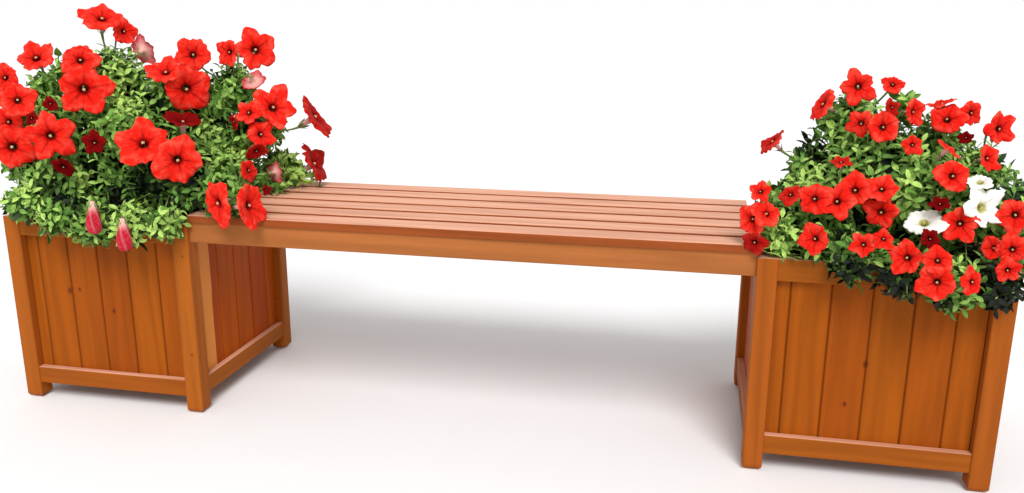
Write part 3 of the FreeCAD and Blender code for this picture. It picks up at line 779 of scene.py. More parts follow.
def add_tube(pile, points, radii, tint, sides=6):
    """Closed round tube along points."""
    last = len(points) - 1
    rings = []
    for i, point in enumerate(points):
        side, up = across_of((points[min(i + 1, last)] - points[max(i - 1, 0)]).normalized())
        rings += [point + turned(side, up, angle) * radii[i] for angle in angles_round(sides)]
    faces = []
    places = []
    for i in range(last):
        low, high = i * sides, (i + 1) * sides
        start, end = i / last, (i + 1) / last
        for j in range(sides):
            following = (j + 1) % sides
            faces.append((low + j, low + following, high + following, high + j))
            turn, next_turn = j / sides, (j + 1) / sides
            places += [(turn, start), (next_turn, start), (next_turn, end), (turn, end)]
    faces.append(tuple(reversed(range(sides))))
    faces.append(tuple(last * sides + j for j in range(sides)))
    places += [(j / sides, 0.0) for j in range(sides)] + [(j / sides, 1.0) for j in range(sides)]
    pile.add(rings, faces, places, tint)


def bent_path(start, end, sag, steps):
    """Points from start to end that bow out along a direction."""
    shares = [i / steps for i in range(steps + 1)]
    return [start.lerp(end, share) + sag * (4 * share * (1 - share)) for share in shares]


def grain_shape(radius):
    """Points and faces of a small rounded grain, and the place of each corner."""
    ball = bmesh.new()
    bmesh.ops.create_icosphere(ball, subdivisions=1, radius=radius)
    points = [vertex.co.copy() for vertex in ball.verts]
    faces = [tuple(vertex.index for vertex in face.verts) for face in ball.faces]
    ball.free()
    return points, faces, [(0.5, 0.5)] * (3 * len(faces))


# The box and its mound of foliage


def box_corners(side):
    """Lowest and highest corner of a box over its posts."""
    return extents[f"{side}_box_front_left_post"][0], extents[f"{side}_box_rear_right_post"][1]


def post_width(side):
    """Width of a box's posts."""
    low, high = extents[f"{side}_box_front_left_post"]
    return high.x - low.x


def seat_corners():
    """Lowest and highest corner of the seat with its aprons."""
    low = extents["seat_slat_1"][0].copy()
    low.z = extents["seat_front_apron"][0].z
    return low, extents[f"seat_slat_{SLATS}"][1]


def clumps_of(side, rows=CLUMPS):
    """Centre and radius of each clump of a box."""
    low, high = box_corners(side)
    half = (high.x - low.x) / 2
    middle = Vector(((low.x + high.x) / 2, (low.y + high.y) / 2, high.z))
    return [
        (middle + Vector((across * half, back * half, height * MM)), radius * MM)
        for across, back, height, radius in rows[side]
    ]


def in_wood(side, point, margin):
    """True if a point lies in the box or in the seat."""
    return any(
        all(low - margin < place < high + margin for low, place, high in zip(lowest, point, highest))
        for lowest, highest in (box_corners(side), seat_corners())
    )


# Where the blooms stand


class Eye:
    """The camera of the photograph."""

    def __init__(self, stage):
        self.place = Vector(stage.camera_place)
        self.turn = Euler(stage.camera_turn).to_matrix()
        self.focal = stage.camera_lens / SENSOR_WIDTH * PICTURE_WIDTH
        self.right = self.turn @ RIGHT
        self.up = self.turn @ Vector((0, 1, 0))

    def sight(self, across, down):
        """Direction through a pixel of the photograph, one long along the camera's axis."""
        x, y = across - PICTURE_WIDTH / 2, PICTURE_HEIGHT / 2 - down
        return self.turn @ Vector((x / self.focal, y / self.focal, -1))

    def pixel(self, point):
        """Where a point lies in the photograph, in pixels across and down."""
        seen = self.turn.transposed() @ (point - self.place)
        across = PICTURE_WIDTH / 2 - self.focal * seen.x / seen.z
        return across, PICTURE_HEIGHT / 2 + self.focal * seen.y / seen.z

    def screened(self, point, clumps):
        """True if a clump stands before a point."""
        way = (point - self.place).normalized()
        reach = (point - self.place).length
        for centre, radius in clumps:
            along = (centre - self.place).dot(way)
            if along < reach and (centre - self.place - way * along).length < radius - HIDING_INSET:
                return True
        return False


def share_in_spots(spots, across, down):
    """How deep a pixel lies in the nearest of some round spots, from 0 at the edge to 1 in the middle."""
    return max(0.0, *(1 - math.hypot(across - x, down - y) / radius for x, y, radius in spots))


def reach_to_mound(place, way, clumps, stand):
    """Distance along a unit direction to the mound grown by a stand, or to where it passes nearest."""
    nearest = None
    hits = []
    for centre, radius in clumps:
        along = (centre - place).dot(way)
        off = (centre - place - way * along).length
        grown = radius + stand
        if off < grown:
            hits.append(along - math.sqrt(grown * grown - off * off))
        elif nearest is None or off - grown < nearest[0]:
            nearest = (off - grown, along)
    return min(hits) if hits else nearest[1]


def bloom_from_photo(scene, side, across, down, width, toward, lean, stand=None):
    """Middle of the face, direction and radius of a bloom seen in the photograph."""
    eye = Eye(scene.bench_stage)
    sight = eye.sight(across, down)
    way = sight.normalized()
    stand = scene.bench_blooms.stand if stand is None else stand
    distance = reach_to_mound(eye.place, way, clumps_of(side), stand)
    radius = width / 2 / eye.focal * distance / sight.length
    sideways = turned(eye.right, eye.up, math.radians(toward))
    return eye.place + way * distance, turned(-way, sideways, math.radians(lean)).normalized(), radius


def photographed_blooms(scene, side):
    """Face, direction, radius and tint of each red bloom that the photograph shows."""
    settings = scene.bench_blooms
    found = []
    for group, rows in RED_BLOOMS[side].items():
        stand = settings.stand_in_front if group == "left edge" else settings.stand
        found += [(*bloom_from_photo(scene, side, *seen, stand), tint) for *seen, tint in rows]
    if side == "left":
        found += [(*bloom_from_photo(scene, side, *seen), tint) for *seen, tint in PALE_BLOOMS]
    return found


def white_blooms(scene):
    """Face, direction, radius and tint of each white bloom."""
    return [(*bloom_from_photo(scene, "right", *seen), tint) for *seen, tint in WHITE_BLOOMS]


def islands(mesh):
    """Points of each separate shape in a copy of a mesh, its seams closed."""
    shape = bmesh.new()
    shape.from_mesh(mesh)
    bmesh.ops.remove_doubles(shape, verts=shape.verts[:], dist=SEAM)
    shape.verts.index_update()
    reached = set()
    found = []
    for first in shape.verts:
        if first.index in reached:
            continue
        reached.add(first.index)
        front = [first]
        points = []
        while front:
            vertex = front.pop()
            points.append(vertex.co.copy())
            for edge in vertex.link_edges:
                other = edge.other_vert(vertex)
                if other.index not in reached:
                    reached.add(other.index)
                    front.append(other)
        found.append(points)
    shape.free()
    return found


@functools.cache
def solid_blooms(side):
    """Face, direction and radius of each red bloom among the solids, which point away from their clumps."""
    clumps = clumps_of(side)
    found = []
    for points in islands(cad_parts[f"{side}_box_red_blooms"].data):
        off_clumps = [
            abs(min((point - centre).length for point in points) - radius) for centre, radius in clumps
        ]
        centre = clumps[off_clumps.index(min(off_clumps))][0]
        way = (sum(points, Vector()) / len(points) - centre).normalized()
        ahead = max((point - centre).dot(way) for point in points)
        wide = max((point - centre - way * (point - centre).dot(way)).length for point in points)
        found.append((centre + way * ahead, way, wide * BLOOM_SHARE))
    return sorted(found, key=lambda bloom: tuple(bloom[0]))


def blooms_behind(scene, side, taken):
    """Blooms on the part of the mound that the photograph doesn't show, where the solids have them."""
    eye = Eye(scene.bench_stage)
    rims = [eye.right * right + UP * up for right, up in RIM_POINTS]
    chance = random.Random(scene.bench_planting.seed + len(side))
    clumps = clumps_of(side)
    found = []
    for face, way, radius in solid_blooms(side):
        hidden = way.dot(eye.place - face) < 0 and all(eye.screened(face + rim, clumps) for rim in rims)
        close = any((face - other[0]).length < scene.bench_blooms.back_spacing for other in taken)
        if hidden and not close:
            found.append((face, way, radius, chance.uniform(*HIDDEN_TINTS)))
    return found


def red_blooms(scene, side):
    """Every red bloom of a box: those photographed, then those behind."""
    found = photographed_blooms(scene, side)
    return found + blooms_behind(scene, side, found)


# Wood


def board_steps(wood, parts, boards, cut):
    """Distance from the nearest joint between boards, in boards, and a number for each board."""
    axis, sign, middle, opening = boards
    across = wood.times(wood.minus(parts[axis], middle), sign)
    steps = wood.maths("DIVIDE", wood.plus(across, opening - FIRST_BOARD), BOARD_PITCH)
    number = wood.plus(wood.times(wood.maths("FLOOR", steps), BOARD_NUMBER_STEP), cut)
    return wood.zigzag(steps, 0.5), number


def knot_share(wood, parts, streaks, x, z, radius):
    """How much of a knot's colour shows, from 1 in its heart to 0 round it."""
    across = wood.minus(parts["X"], x)
    up = wood.times(wood.minus(parts["Z"], z), 0.7)
    far = wood.maths("SQRT", wood.plus(wood.times(across, across), wood.times(up, up)))
    far = wood.times_plus(streaks, radius * 0.6, far)
    return wood.times(wood.smooth(far, radius * 0.5, radius * 1.25, 1.0, 0.0), MARK_STRENGTH)


def strip_share(wood, parts, streaks, low, high):
    """How much of the sapwood shows: most between two places along Y."""
    y = wood.times_plus(streaks, STRIP_STRAY, parts["Y"])
    from_low = wood.smooth(y, low, low + STRIP_EDGE)
    inside = wood.times(from_low, wood.smooth(y, high, high + STRIP_EDGE, 1.0, 0.0))
    return wood.times(inside, MARK_STRENGTH)


def wood_finish(settings, name, stain, grain, boards=None, knots=(), strip=None, top_sheen=0.75):
    """Oiled softwood with grain along an axis, boards, knots and a pale strip where asked, and painted sheen
    on top.

    boards is (axis across, sign, middle, half opening); knots are (x, z, radius) in metres;
    strip is (low, high) along Y.
    """
    wood = Finish(name, 0.6, 0.06)
    place = wood.place()
    number = wood.add("Attribute", attribute_type="OBJECT", attribute_name="cut")["Fac"]
    parts = wood.parts(place)
    if boards:
        from_joint, number = board_steps(wood, parts, boards, number)
    own = wood.add("TexWhiteNoise", {"W": number}, noise_dimensions="1D")
    moved = wood.vector("ADD", place, wood.vector("MULTIPLY", own["Color"], BOARD_DRIFT))
    stretch = tuple(GRAIN_STRETCH if axis == grain else 1.0 for axis in "XYZ")
    along = wood.vector("MULTIPLY", moved, stretch)
    rings = wood.zigzag(wood.times(wood.cloud(along, RING_SCALE, 2.0, 0.5), RINGS), 1.0)
    streaks = wood.cloud(along, STREAK_SCALE, 5.0, 0.6)
    pores = wood.cloud(along, PORE_SCALE, 2.0, 0.5)
    tone = wood.times_plus(pores, 0.22, wood.times_plus(rings, 0.32, wood.times(streaks, 0.55)))
    tone = wood.smooth(tone, 0.28, 0.84)
    reach = 0.5 * settings.streak
    colour = wood.blend(tone, scaled(stain, 1.0 - reach), scaled(stain, 1.0 + reach * 0.75))
    if strip:
        colour = wood.blend(strip_share(wood, parts, streaks, *strip), colour, scaled(settings.sapwood))
    for knot in knots:
        colour = wood.blend(knot_share(wood, parts, streaks, *knot), colour, scaled(settings.knot))
    if boards:
        groove = wood.smooth(from_joint, 0.01, 0.032, settings.groove, 0.0)
        colour = wood.blend(groove, colour, scaled(settings.knot, 0.8))
    change = settings.board_change
    value = wood.times_plus(own["Value"], change, 1.0 - change / 2)
    hue = wood.times_plus(own["Value"], 0.005, 0.4975)
    colour = wood.add("HueSaturation", {"Hue": hue, "Value": value, "Color": colour})["Color"]
    # Painted sheen: faces that look up are blended toward a pale colour, for the sky reflected in the oiled
    # tops
    upward = wood.parts(wood.add("NewGeometry")["Normal"])["Z"]
    painted_top_sheen = wood.times(wood.smooth(upward, 0.35, 0.95), wood.times_plus(tone, 0.5, top_sheen - 0.25))
    wood.paint(wood.blend(painted_top_sheen, colour, scaled(settings.top_sheen_colour)))
    wood.set("Roughness", wood.smooth(streaks, 0.2, 0.8, 0.42, 0.6))
    wood.relief(wood.times_plus(pores, 0.5, streaks), settings.relief, 0.0006)
    return wood.material


def dress(name, finish):
    """Give a CAD piece its finish and a cut of its own."""
    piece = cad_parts[name]
    piece.data.materials.clear()
    piece.data.materials.append(finish)
    piece["cut"] = float(sorted(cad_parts).index(name))


class BENCH_OT_box_wood(bpy.types.Operator):
    """Give the posts, rails and boards of a box their stained and oiled wood"""

    bl_idname = "bench.box_wood"
    bl_label = "Box Wood"

    side: side_setting()

    def execute(self, context):
        settings = context.scene.bench_wood
        side = self.side
        low, high = box_corners(side)
        middle = (low + high) / 2
        opening = (high.x - low.x) / 2 - post_width(side)
        knots = [(middle.x + x * MM, z * MM, size * MM) for x, z, size in POST_KNOTS[side]]
        post = wood_finish(settings, f"{side} posts", settings.post, "Z", knots=knots)
        for corner in CORNERS:
            dress(f"{side}_box_{corner}_post", post)
        rails = {axis: wood_finish(settings, f"{side} rails {axis}", settings.rail, axis) for axis in "XY"}
        for face in BOX_FACES:
            axis = "X" if face in ("front", "rear") else "Y"
            for level in ("bottom", "top"):
                dress(f"{side}_box_{face}_{level}_rail", rails[axis])
            sign = 1.0 if face in ("front", "right") else -1.0
            centre = middle.x if axis == "X" else middle.y
            knots = ()
            if face == "front":
                knots = [(middle.x + x * MM, z * MM, size * MM) for x, z, size in FRONT_KNOTS[side]]
            strip = None
            if side == "left" and face == "right":
                joint = middle.y - opening + FIRST_BOARD
                strip = (joint, joint + PALE_STRIP)
            # Boards that face the seat take the inner colour, the board stain retuned for the shade they
            # stand in: painted light
            stain = settings.inner if face != side and face in BOX_SIDES else settings.board
            boards = (axis, sign, centre, opening)
            finish = wood_finish(settings, f"{side} {face} boards", stain, "Z", boards, knots, strip)
            dress(f"{side}_box_{face}_boards", finish)
        dress(f"{side}_box_floor_cleats", rails["Y"])
        dress(f"{side}_box_floor_slats", rails["X"])
        return {"FINISHED"}


class BENCH_OT_seat_wood(bpy.types.Operator):
    """Give the slats, aprons, bearers and dowels their wood, with a painted sheen on their upward faces,
    strongest on the slats
    """

    bl_idname = "bench.seat_wood"
    bl_label = "Seat Wood"

    def execute(self, context):
        settings = context.scene.bench_wood
        slat = wood_finish(settings, "Seat slats", settings.slat, "X", top_sheen=0.9)
        for i in range(SLATS):
            dress(f"seat_slat_{i + 1}", slat)
        apron = wood_finish(settings, "Aprons", settings.apron, "X")
        for name in ("seat_front_apron", "seat_rear_apron"):
            dress(name, apron)
        bearer = wood_finish(settings, "Bearers", settings.apron, "Y")
        for name in ("seat_end_bearers", "seat_middle_bearers", "wooden_dowels"):
            dress(name, bearer)
        return {"FINISHED"}


class BENCH_OT_fasteners(bpy.types.Operator):
    """Give the bolts, nuts, spacers and screws zinc-plated steel"""

    bl_idname = "bench.fasteners"
    bl_label = "Fasteners"

    def execute(self, context):
        steel = Finish("Plated steel", 0.35)
        place = steel.place()
        cloud = steel.cloud(place, 220.0, 4.0)
        steel.paint(steel.blend(cloud, (0.32, 0.32, 0.31, 1.0), (0.62, 0.61, 0.57, 1.0)))
        steel.set("Metallic", 1.0)
        steel.set("Roughness", steel.smooth(cloud, 0.3, 0.7, 0.28, 0.5))
        steel.relief(steel.cloud(place, 900.0, 2.0), 0.2, 0.0002)
        for name in ("seat_bolts", "seat_nuts", "seat_spacers", "wood_screws"):
            dress(name, steel.material)
        return {"FINISHED"}


class BENCH_OT_soil(bpy.types.Operator):
    """Give both boxes their liner and their crumbly soil"""

    bl_idname = "bench.soil"
    bl_label = "Liner and Soil"

    def execute(self, context):
        settings = context.scene.bench_planting
        liner = Finish("Liner plastic", 0.6, 0.35)
        scuff = liner.cloud(liner.place(), 60.0, 5.0)
        liner.paint(liner.blend(scuff, scaled(settings.liner, 0.7), scaled(settings.liner, 1.6)))
        liner.relief(scuff, 0.3, 0.001)
        soil = Finish("Potting soil", 0.95, 0.2)
        clods = soil.cloud(soil.place(), 110.0, 8.0, 0.7)
        dark, light = scaled(settings.soil, 0.4), scaled(settings.soil, 1.5)
        soil.paint(soil.blend(soil.smooth(clods, 0.3, 0.7), dark, light))
        soil.relief(clods, 1.0, 0.006)
        for side in BOX_SIDES:
            dress(f"{side}_box_liner", liner.material)
            dress(f"{side}_box_soil", soil.material)
            self.crumbs(side, soil.material, settings.seed)
        return {"FINISHED"}

    def crumbs(self, side, soil, seed):
        """Crumbs and bark that lie on the soil."""
        chance = random.Random(seed + len(side))
        low, high = extents[f"{side}_box_soil"]
        pile = Pile()
        for _ in range(CRUMBS):
            size = chance.uniform(*CRUMB_SIZES)
            x = chance.uniform(low.x + CRUMB_EDGE, high.x - CRUMB_EDGE)
            y = chance.uniform(low.y + CRUMB_EDGE, high.y - CRUMB_EDGE)
            centre = Vector((x, y, high.z + size * CRUMB_HEIGHT))
            turn = Euler([chance.uniform(0, math.pi) for _ in range(3)]).to_matrix()
            points, faces, places = grain_shape(size)
            flattened = [turn @ (point * Vector(CRUMB_SHAPE)) for point in points]
            roughened = [centre + point * chance.uniform(*CRUMB_LUMPS) for point in flattened]
            pile.add(roughened, faces, places, chance.random())
        take_place(pile.make(f"{side}_box_soil_crumbs", soil), "soil")


# Foliage


def leaf_finish(settings):
    """Downy green leaf with a pale midrib, yellower when young, lighter with painted sunlight and near black
    with painted shade.
    """
    leaf = Finish("Petunia leaf", 0.5, 0.3)
    across, along = leaf.shape()
    tint = leaf.tint()
    # Painted light and shade: low tints go toward the near-black shade colour, high ones toward the young and
    # sunlit colour
    shade_to_leaf = leaf.blend(leaf.smooth(tint, 0.0, 0.55), scaled(settings.leaf_dark), scaled(settings.leaf))
    colour = leaf.blend(leaf.smooth(tint, 0.5, 1.0), shade_to_leaf, scaled(settings.young_and_sunlit_leaf))
    off_rib = leaf.maths("ABSOLUTE", leaf.minus(across, 0.5))
    rib = leaf.smooth(off_rib, 0.0, 0.075, 1.0, 0.0)
    climb = leaf.times_plus(off_rib, -1.4, along)
    vein = leaf.smooth(leaf.zigzag(leaf.times(climb, 9.0), 0.5), 0.0, 0.14, 1.0, 0.0)
    lines = leaf.larger(rib, leaf.times(vein, 0.45))
    faint = leaf.smooth(tint, 0.0, 0.6, 0.06, 0.4)
    colour = leaf.blend(leaf.times(lines, faint), colour, scaled(settings.young_and_sunlit_leaf, 1.1))
    mottle = leaf.cloud(leaf.place(), 260.0)
    value = leaf.smooth(mottle, 0.25, 0.75, 0.78, 1.2)
    leaf.paint(leaf.add("HueSaturation", {"Value": value, "Color": colour})["Color"])
    leaf.relief(leaf.times_plus(lines, -1.0, leaf.times(mottle, 0.4)), 0.6, 0.0008)
    return leaf.material


def stem_finish(settings):
    """Hairy green stem, paler here and there."""
    stem = Finish("Petunia stem", 0.55, 0.4)
    place = stem.place()
    pale = stem.smooth(stem.cloud(place, 45.0), 0.45, 0.75)
    stem.paint(stem.blend(pale, scaled(settings.stem), scaled(settings.young_and_sunlit_leaf, 0.8)))
    stem.relief(stem.cloud(place, 1400.0, 2.0), 0.4, 0.0004)
    return stem.material


def growth_finish(settings):
    """Shaded leaves and stems deep in the mound."""
    growth = Finish("Inner growth", 0.85, 0.2)
    place = growth.place()
    cells = growth.add("TexVoronoi", {"Vector": place, "Scale": 62.0})["Distance"]
    shade = growth.cloud(place, 90.0, 4.0)
    dark = growth.blend(shade, scaled(settings.leaf_dark, 0.25), scaled(settings.leaf_dark, 1.3))
    leafy = growth.times(growth.smooth(cells, 0.25, 0.6, 0.6, 0.0), shade)
    growth.paint(growth.blend(leafy, dark, scaled(settings.leaf, 0.9)))
    growth.relief(cells, 1.0, 0.012)
    return growth.material


def add_leaf(pile, base, way, face, length, width, droop, fold, tint):
    """Pointed oval leaf that folds along its midrib and bends away from its upper face."""
    side = way.cross(face).normalized()
    points = []
    centre = base
    reached = 0.0
    for share, half in LEAF_OUTLINE:
        bend = droop * share
        centre = centre + turned(way, -face, bend) * ((share - reached) * length)
        reached = share
        out = side * (math.cos(fold) * half * width / 2)
        lift = turned(face, way, bend) * (math.sin(fold) * half * width / 2)
        points += [centre - out + lift, centre, centre + out + lift]
    points.append(centre + turned(way, -face, droop) * ((1 - reached) * length))
    tip = len(points) - 1
    shares = [share for share, half in LEAF_OUTLINE]
    faces = []
    places = []
    for row, (start, stop) in enumerate(zip(shares, shares[1:])):
        for half in (0, 1):
            first, following = 3 * row + half, 3 * row + 3 + half
            low, high = half / 2, half / 2 + 0.5
            faces.append((first, first + 1, following + 1, following))
            places += [(low, start), (high, start), (high, stop), (low, stop)]
    for half in (0, 1):
        faces.append((tip - 3 + half, tip - 2 + half, tip))
        places += [(half / 2, reached), (half / 2 + 0.5, reached), (0.5, 1.0)]
    pile.add(points, faces, places, tint)


def covers_bloom(point, blooms):
    """True if a leaf ending at a point would lie over the face of a bloom."""
    for face, facing, radius, _ in blooms:
        offset = point - face
        ahead = offset.dot(facing)
        near = -COVER_BEHIND < ahead < COVER_BEFORE
        if near and (offset - facing * ahead).length < radius * COVER_SHARE + COVER_BEYOND:
            return True
    return False


def screens_bloom(point, blooms, place):
    """True if a leaf ending at a point would stand between the eye's place and a bloom."""
    sight = point - place
    for face, facing, radius, _ in blooms:
        steep = sight.dot(facing)
        reach = (face - place).dot(facing) / steep if steep else 0.0
        if 1.0 < reach < SCREEN_REACH and (place + sight * reach - face).length < radius * SCREEN_SHARE:
            return True
    return False


def bare_of_others(point, clumps, number, size_of):
    """True if a point of one clump lies in none of the others, whose sizes a function gives."""
    return not any(
        (point - centre).length < size_of(radius) for i, (centre, radius) in enumerate(clumps) if i != number
    )


def shoot_places(side, settings):
    """Surface point, outward direction and height share of each shoot on the outside of the mound."""
    clumps = clumps_of(side) + clumps_of(side, SPRIGS)
    top = max(centre.z + radius for centre, radius in clumps)
    bottom = min(centre.z - radius for centre, radius in clumps)
    places = []
    for number, (centre, radius) in enumerate(clumps):
        for way in spiral_ways(radius, settings.shoot_spacing):
            point = centre + way * radius
            outside = bare_of_others(point, clumps, number, lambda size: size - SHOOT_OVERLAP)
            if outside and not in_wood(side, point, SHOOT_GAP):
                places.append((point, way, (point.z - bottom) / (top - bottom)))
    return places


def deep_places(side, settings):
    """Point, outward direction and light of the sparse shoots inside the mound."""
    clumps = clumps_of(side)
    share = settings.deep_share
    places = []
    for number, (centre, radius) in enumerate(clumps):
        light = DEEP_LIGHT * min(1.0, (radius / DEEP_RADIUS) ** DEEP_CURVE)
        depth = radius * share
        for way in spiral_ways(depth, DEEP_SPACING * settings.shoot_spacing):
            point = centre + way * depth
            outside = bare_of_others(point, clumps, number, lambda size: size * share)
            if outside and not in_wood(side, point, SHOOT_GAP):
                places.append((point, way, light))
    return places


def rim_places(side, settings, chance):
    """Surface point, upward direction and height share of the shoots that fill the box to its rim."""
    low, high = box_corners(side)
    inset = RIM_INSET * post_width(side)
    spacing = settings.shoot_spacing
    count = int((high.x - low.x - 2 * inset) / spacing) + 1
    places = []
    for column in range(count):
        for row in range(count):
            x = low.x + inset + column * spacing + chance.uniform(*RIM_STRAY)
            y = low.y + inset + row * spacing + chance.uniform(*RIM_STRAY)
            point = Vector((x, y, high.z + RIM_HEIGHT + chance.uniform(*RIM_HEIGHTS)))
            if all((point - centre).length >= radius - RIM_DEPTH for centre, radius in clumps_of(side)):
                places.append((point, UP, RIM_GROWTH))
    return places


def inner_growth(side, finish):
    """Lumpy body of shaded growth under the leaves."""
    shape = bmesh.new()
    sprigs = [(centre, radius) for centre, radius in clumps_of(side, SPRIGS) if radius > GROWTH_SPRIG]
    for centre, radius in clumps_of(side) + sprigs:
        shrunk = max(radius - GROWTH_INSET, radius * GROWTH_LEAST)
        bmesh.ops.create_icosphere(shape, subdivisions=3, radius=shrunk, matrix=Matrix.Translation(centre))
    name = f"{side}_box_inner_growth"
    made = new_object(name, mesh_of(name, shape))
    skin = made.modifiers.new("Skin", "REMESH")
    skin.mode = "VOXEL"
    skin.voxel_size = GROWTH_GRAIN
    mesh = bpy.data.meshes.new_from_object(made.evaluated_get(bpy.context.evaluated_depsgraph_get()))
    made.modifiers.clear()
    made.data = mesh
    for vertex in mesh.vertices:
        swell = sum(noise.noise(vertex.co * scale) * height for scale, height in GROWTH_LUMPS)
        vertex.co += vertex.normal * swell
    mesh.polygons.foreach_set("use_smooth", [True] * len(mesh.polygons))
    mesh.materials.clear()
    mesh.materials.append(finish)
    return made


class Foliage:
    """The leafy shoots of a box, kept clear of its blooms and of the wood."""

    def __init__(self, scene, side):
        self.settings = scene.bench_planting
        self.side = side
        self.chance = random.Random(self.settings.seed * 31 + len(side))
        self.eye = Eye(scene.bench_stage)
        white = white_blooms(scene) if side == "right" else []
        self.blooms = red_blooms(scene, side) + white
        self.seen = photographed_blooms(scene, side) + white
        self.stems = Pile()
        self.leaves = {name: Pile() for name in ("lower", "front", "back", "deep")}

    def grow(self):
        """Every shoot, those on the outside lit and thinned as the photograph shows them."""
        side, chance = self.side, self.chance
        hanging_end = box_corners(side)[1].z + HANGING_HEIGHT
        outer = shoot_places(side, self.settings) + rim_places(side, self.settings, chance)
        for point, way, height in outer:
            pixel = self.eye.pixel(point - way * self.settings.inset)
            if share_in_spots(BARE[side], *pixel) > 0:
                continue
            shade = min(1.0, share_in_spots(SHADED[side], *pixel) / SPOT_EDGE)
            thinned = THINNED_ABOVE if point.z > hanging_end else THINNED_HANGING
            if chance.random() < thinned * shade:
                continue
            sun = min(1.0, share_in_spots(SUNLIT[side], *pixel) / SPOT_EDGE)
            light = SUN_GAIN * sun - SHADE_LOSS * shade
            layer = "front" if way.y < 0 else "back"
            if point.z < hanging_end:
                layer = "lower"
            self.shoot(self.leaves[layer], point, way, height, light)
        for point, way, light in deep_places(side, self.settings):
            self.shoot(self.leaves["deep"], point, way, 0.0, light)

    def shoot(self, pile, point, way, height, light):
        """One stem with its leaves, the youngest in a rosette at the tip, unless it would cover a bloom."""
        settings, chance = self.settings, self.chance
        stray = Vector([chance.uniform(-1, 1) for _ in range(3)]) * SHOOT_STRAY
        axis = (way + UP * (SHOOT_RISE + SHOOT_RISE_ON_TOP * height) + stray).normalized()
        length = settings.shoot_length * chance.uniform(*SHOOT_LENGTHS)
        limb = 1 - SHOOT_SQUARE * abs(way.dot((self.eye.place - point).normalized()))
        tip = point - way * (settings.inset * limb * chance.uniform(*SHOOT_DEPTHS))
        base = tip - axis * length * SHOOT_BACK - way * (length * SHOOT_INWARD)
        near = [bloom for bloom in self.blooms if (bloom[0] - tip).length < COVER_RANGE]
        near_seen = [bloom for bloom in self.seen if (bloom[0] - tip).length < SCREEN_RANGE]

        def in_the_way(place):
            """True if a point of the shoot would cover a bloom."""
            return covers_bloom(place, near) or screens_bloom(place, near_seen, self.eye.place)

        if in_wood(self.side, tip, TIP_GAP):
            return
        if any(in_the_way(base.lerp(tip, share)) for share in STEM_CHECKS):
            return
        across, up = across_of(axis)
        path = bent_path(base, tip, across * (length * chance.uniform(*SHOOT_BENDS)), len(STEM_RADII) - 1)
        stem_tint = chance.random()
        turn = chance.uniform(0, TURN)
        leaves = []
        hidden = 0
        for i in range(settings.leaves):
            share = LOWEST_LEAF + (1 - LOWEST_LEAF) * i / (settings.leaves - 1)
            radial = turned(across, up, turn + i * LEAF_TURN)
            opening = math.radians(LEAF_OPEN - LEAF_CLOSING * share + chance.uniform(*LEAF_OPEN_CHANGES))
            leaf_way = turned(axis, radial, opening).normalized()
            face = turned(-radial, axis, opening).normalized()
            size = (LEAF_SIZE - LEAF_SIZE_LOSS * share) * chance.uniform(*LEAF_SIZES)
            start = base.lerp(tip, share)
            end = start + leaf_way * (settings.leaf_length * size * LEAF_REACH)
            checks = (end, start.lerp(end, 0.5))
            if any(in_wood(self.side, place, LEAF_GAP) for place in checks):
                continue
            if any(in_the_way(place) for place in checks):
                hidden += 1
                continue
            tint = LEAF_TINT + LEAF_TINT_TIP * share**2 + LEAF_TINT_CHANCE * chance.random()
            tint = max(0.0, min(1.0, tint + LEAF_TINT_HEIGHT * height + light))
            width = settings.leaf_width * size * chance.uniform(*LEAF_WIDTHS)
            droop, fold = chance.uniform(*LEAF_DROOPS), chance.uniform(*LEAF_FOLDS)
            leaves.append((start, leaf_way, face, settings.leaf_length * size, width, droop, fold, tint))
        if hidden > HIDDEN_LEAVES * settings.leaves or not leaves:
            return
        add_tube(self.stems, path, STEM_RADII, stem_tint, 5)
        for leaf in leaves:
            add_leaf(pile, *leaf)


class BENCH_OT_foliage(bpy.types.Operator):
    """Fill a box with leafy shoots on a dark inner growth, hanging over the rim"""

    bl_idname = "bench.foliage"
    bl_label = "Foliage"

    side: side_setting()

    def execute(self, context):
        settings = context.scene.bench_planting
        side = self.side
        replaced = f"{side}_box_foliage"
        take_place(inner_growth(side, growth_finish(settings)), "foliage", replaced)
        foliage = Foliage(context.scene, side)
        foliage.grow()
        leaf, stem = leaf_finish(settings), stem_finish(settings)
        for name, pile in foliage.leaves.items():
            take_place(pile.make(f"{side}_box_{name}_leaves", leaf), "foliage", replaced)
        take_place(foliage.stems.make(f"{side}_box_stems", stem), "foliage", replaced)
        return {"FINISHED"}


# Blooms


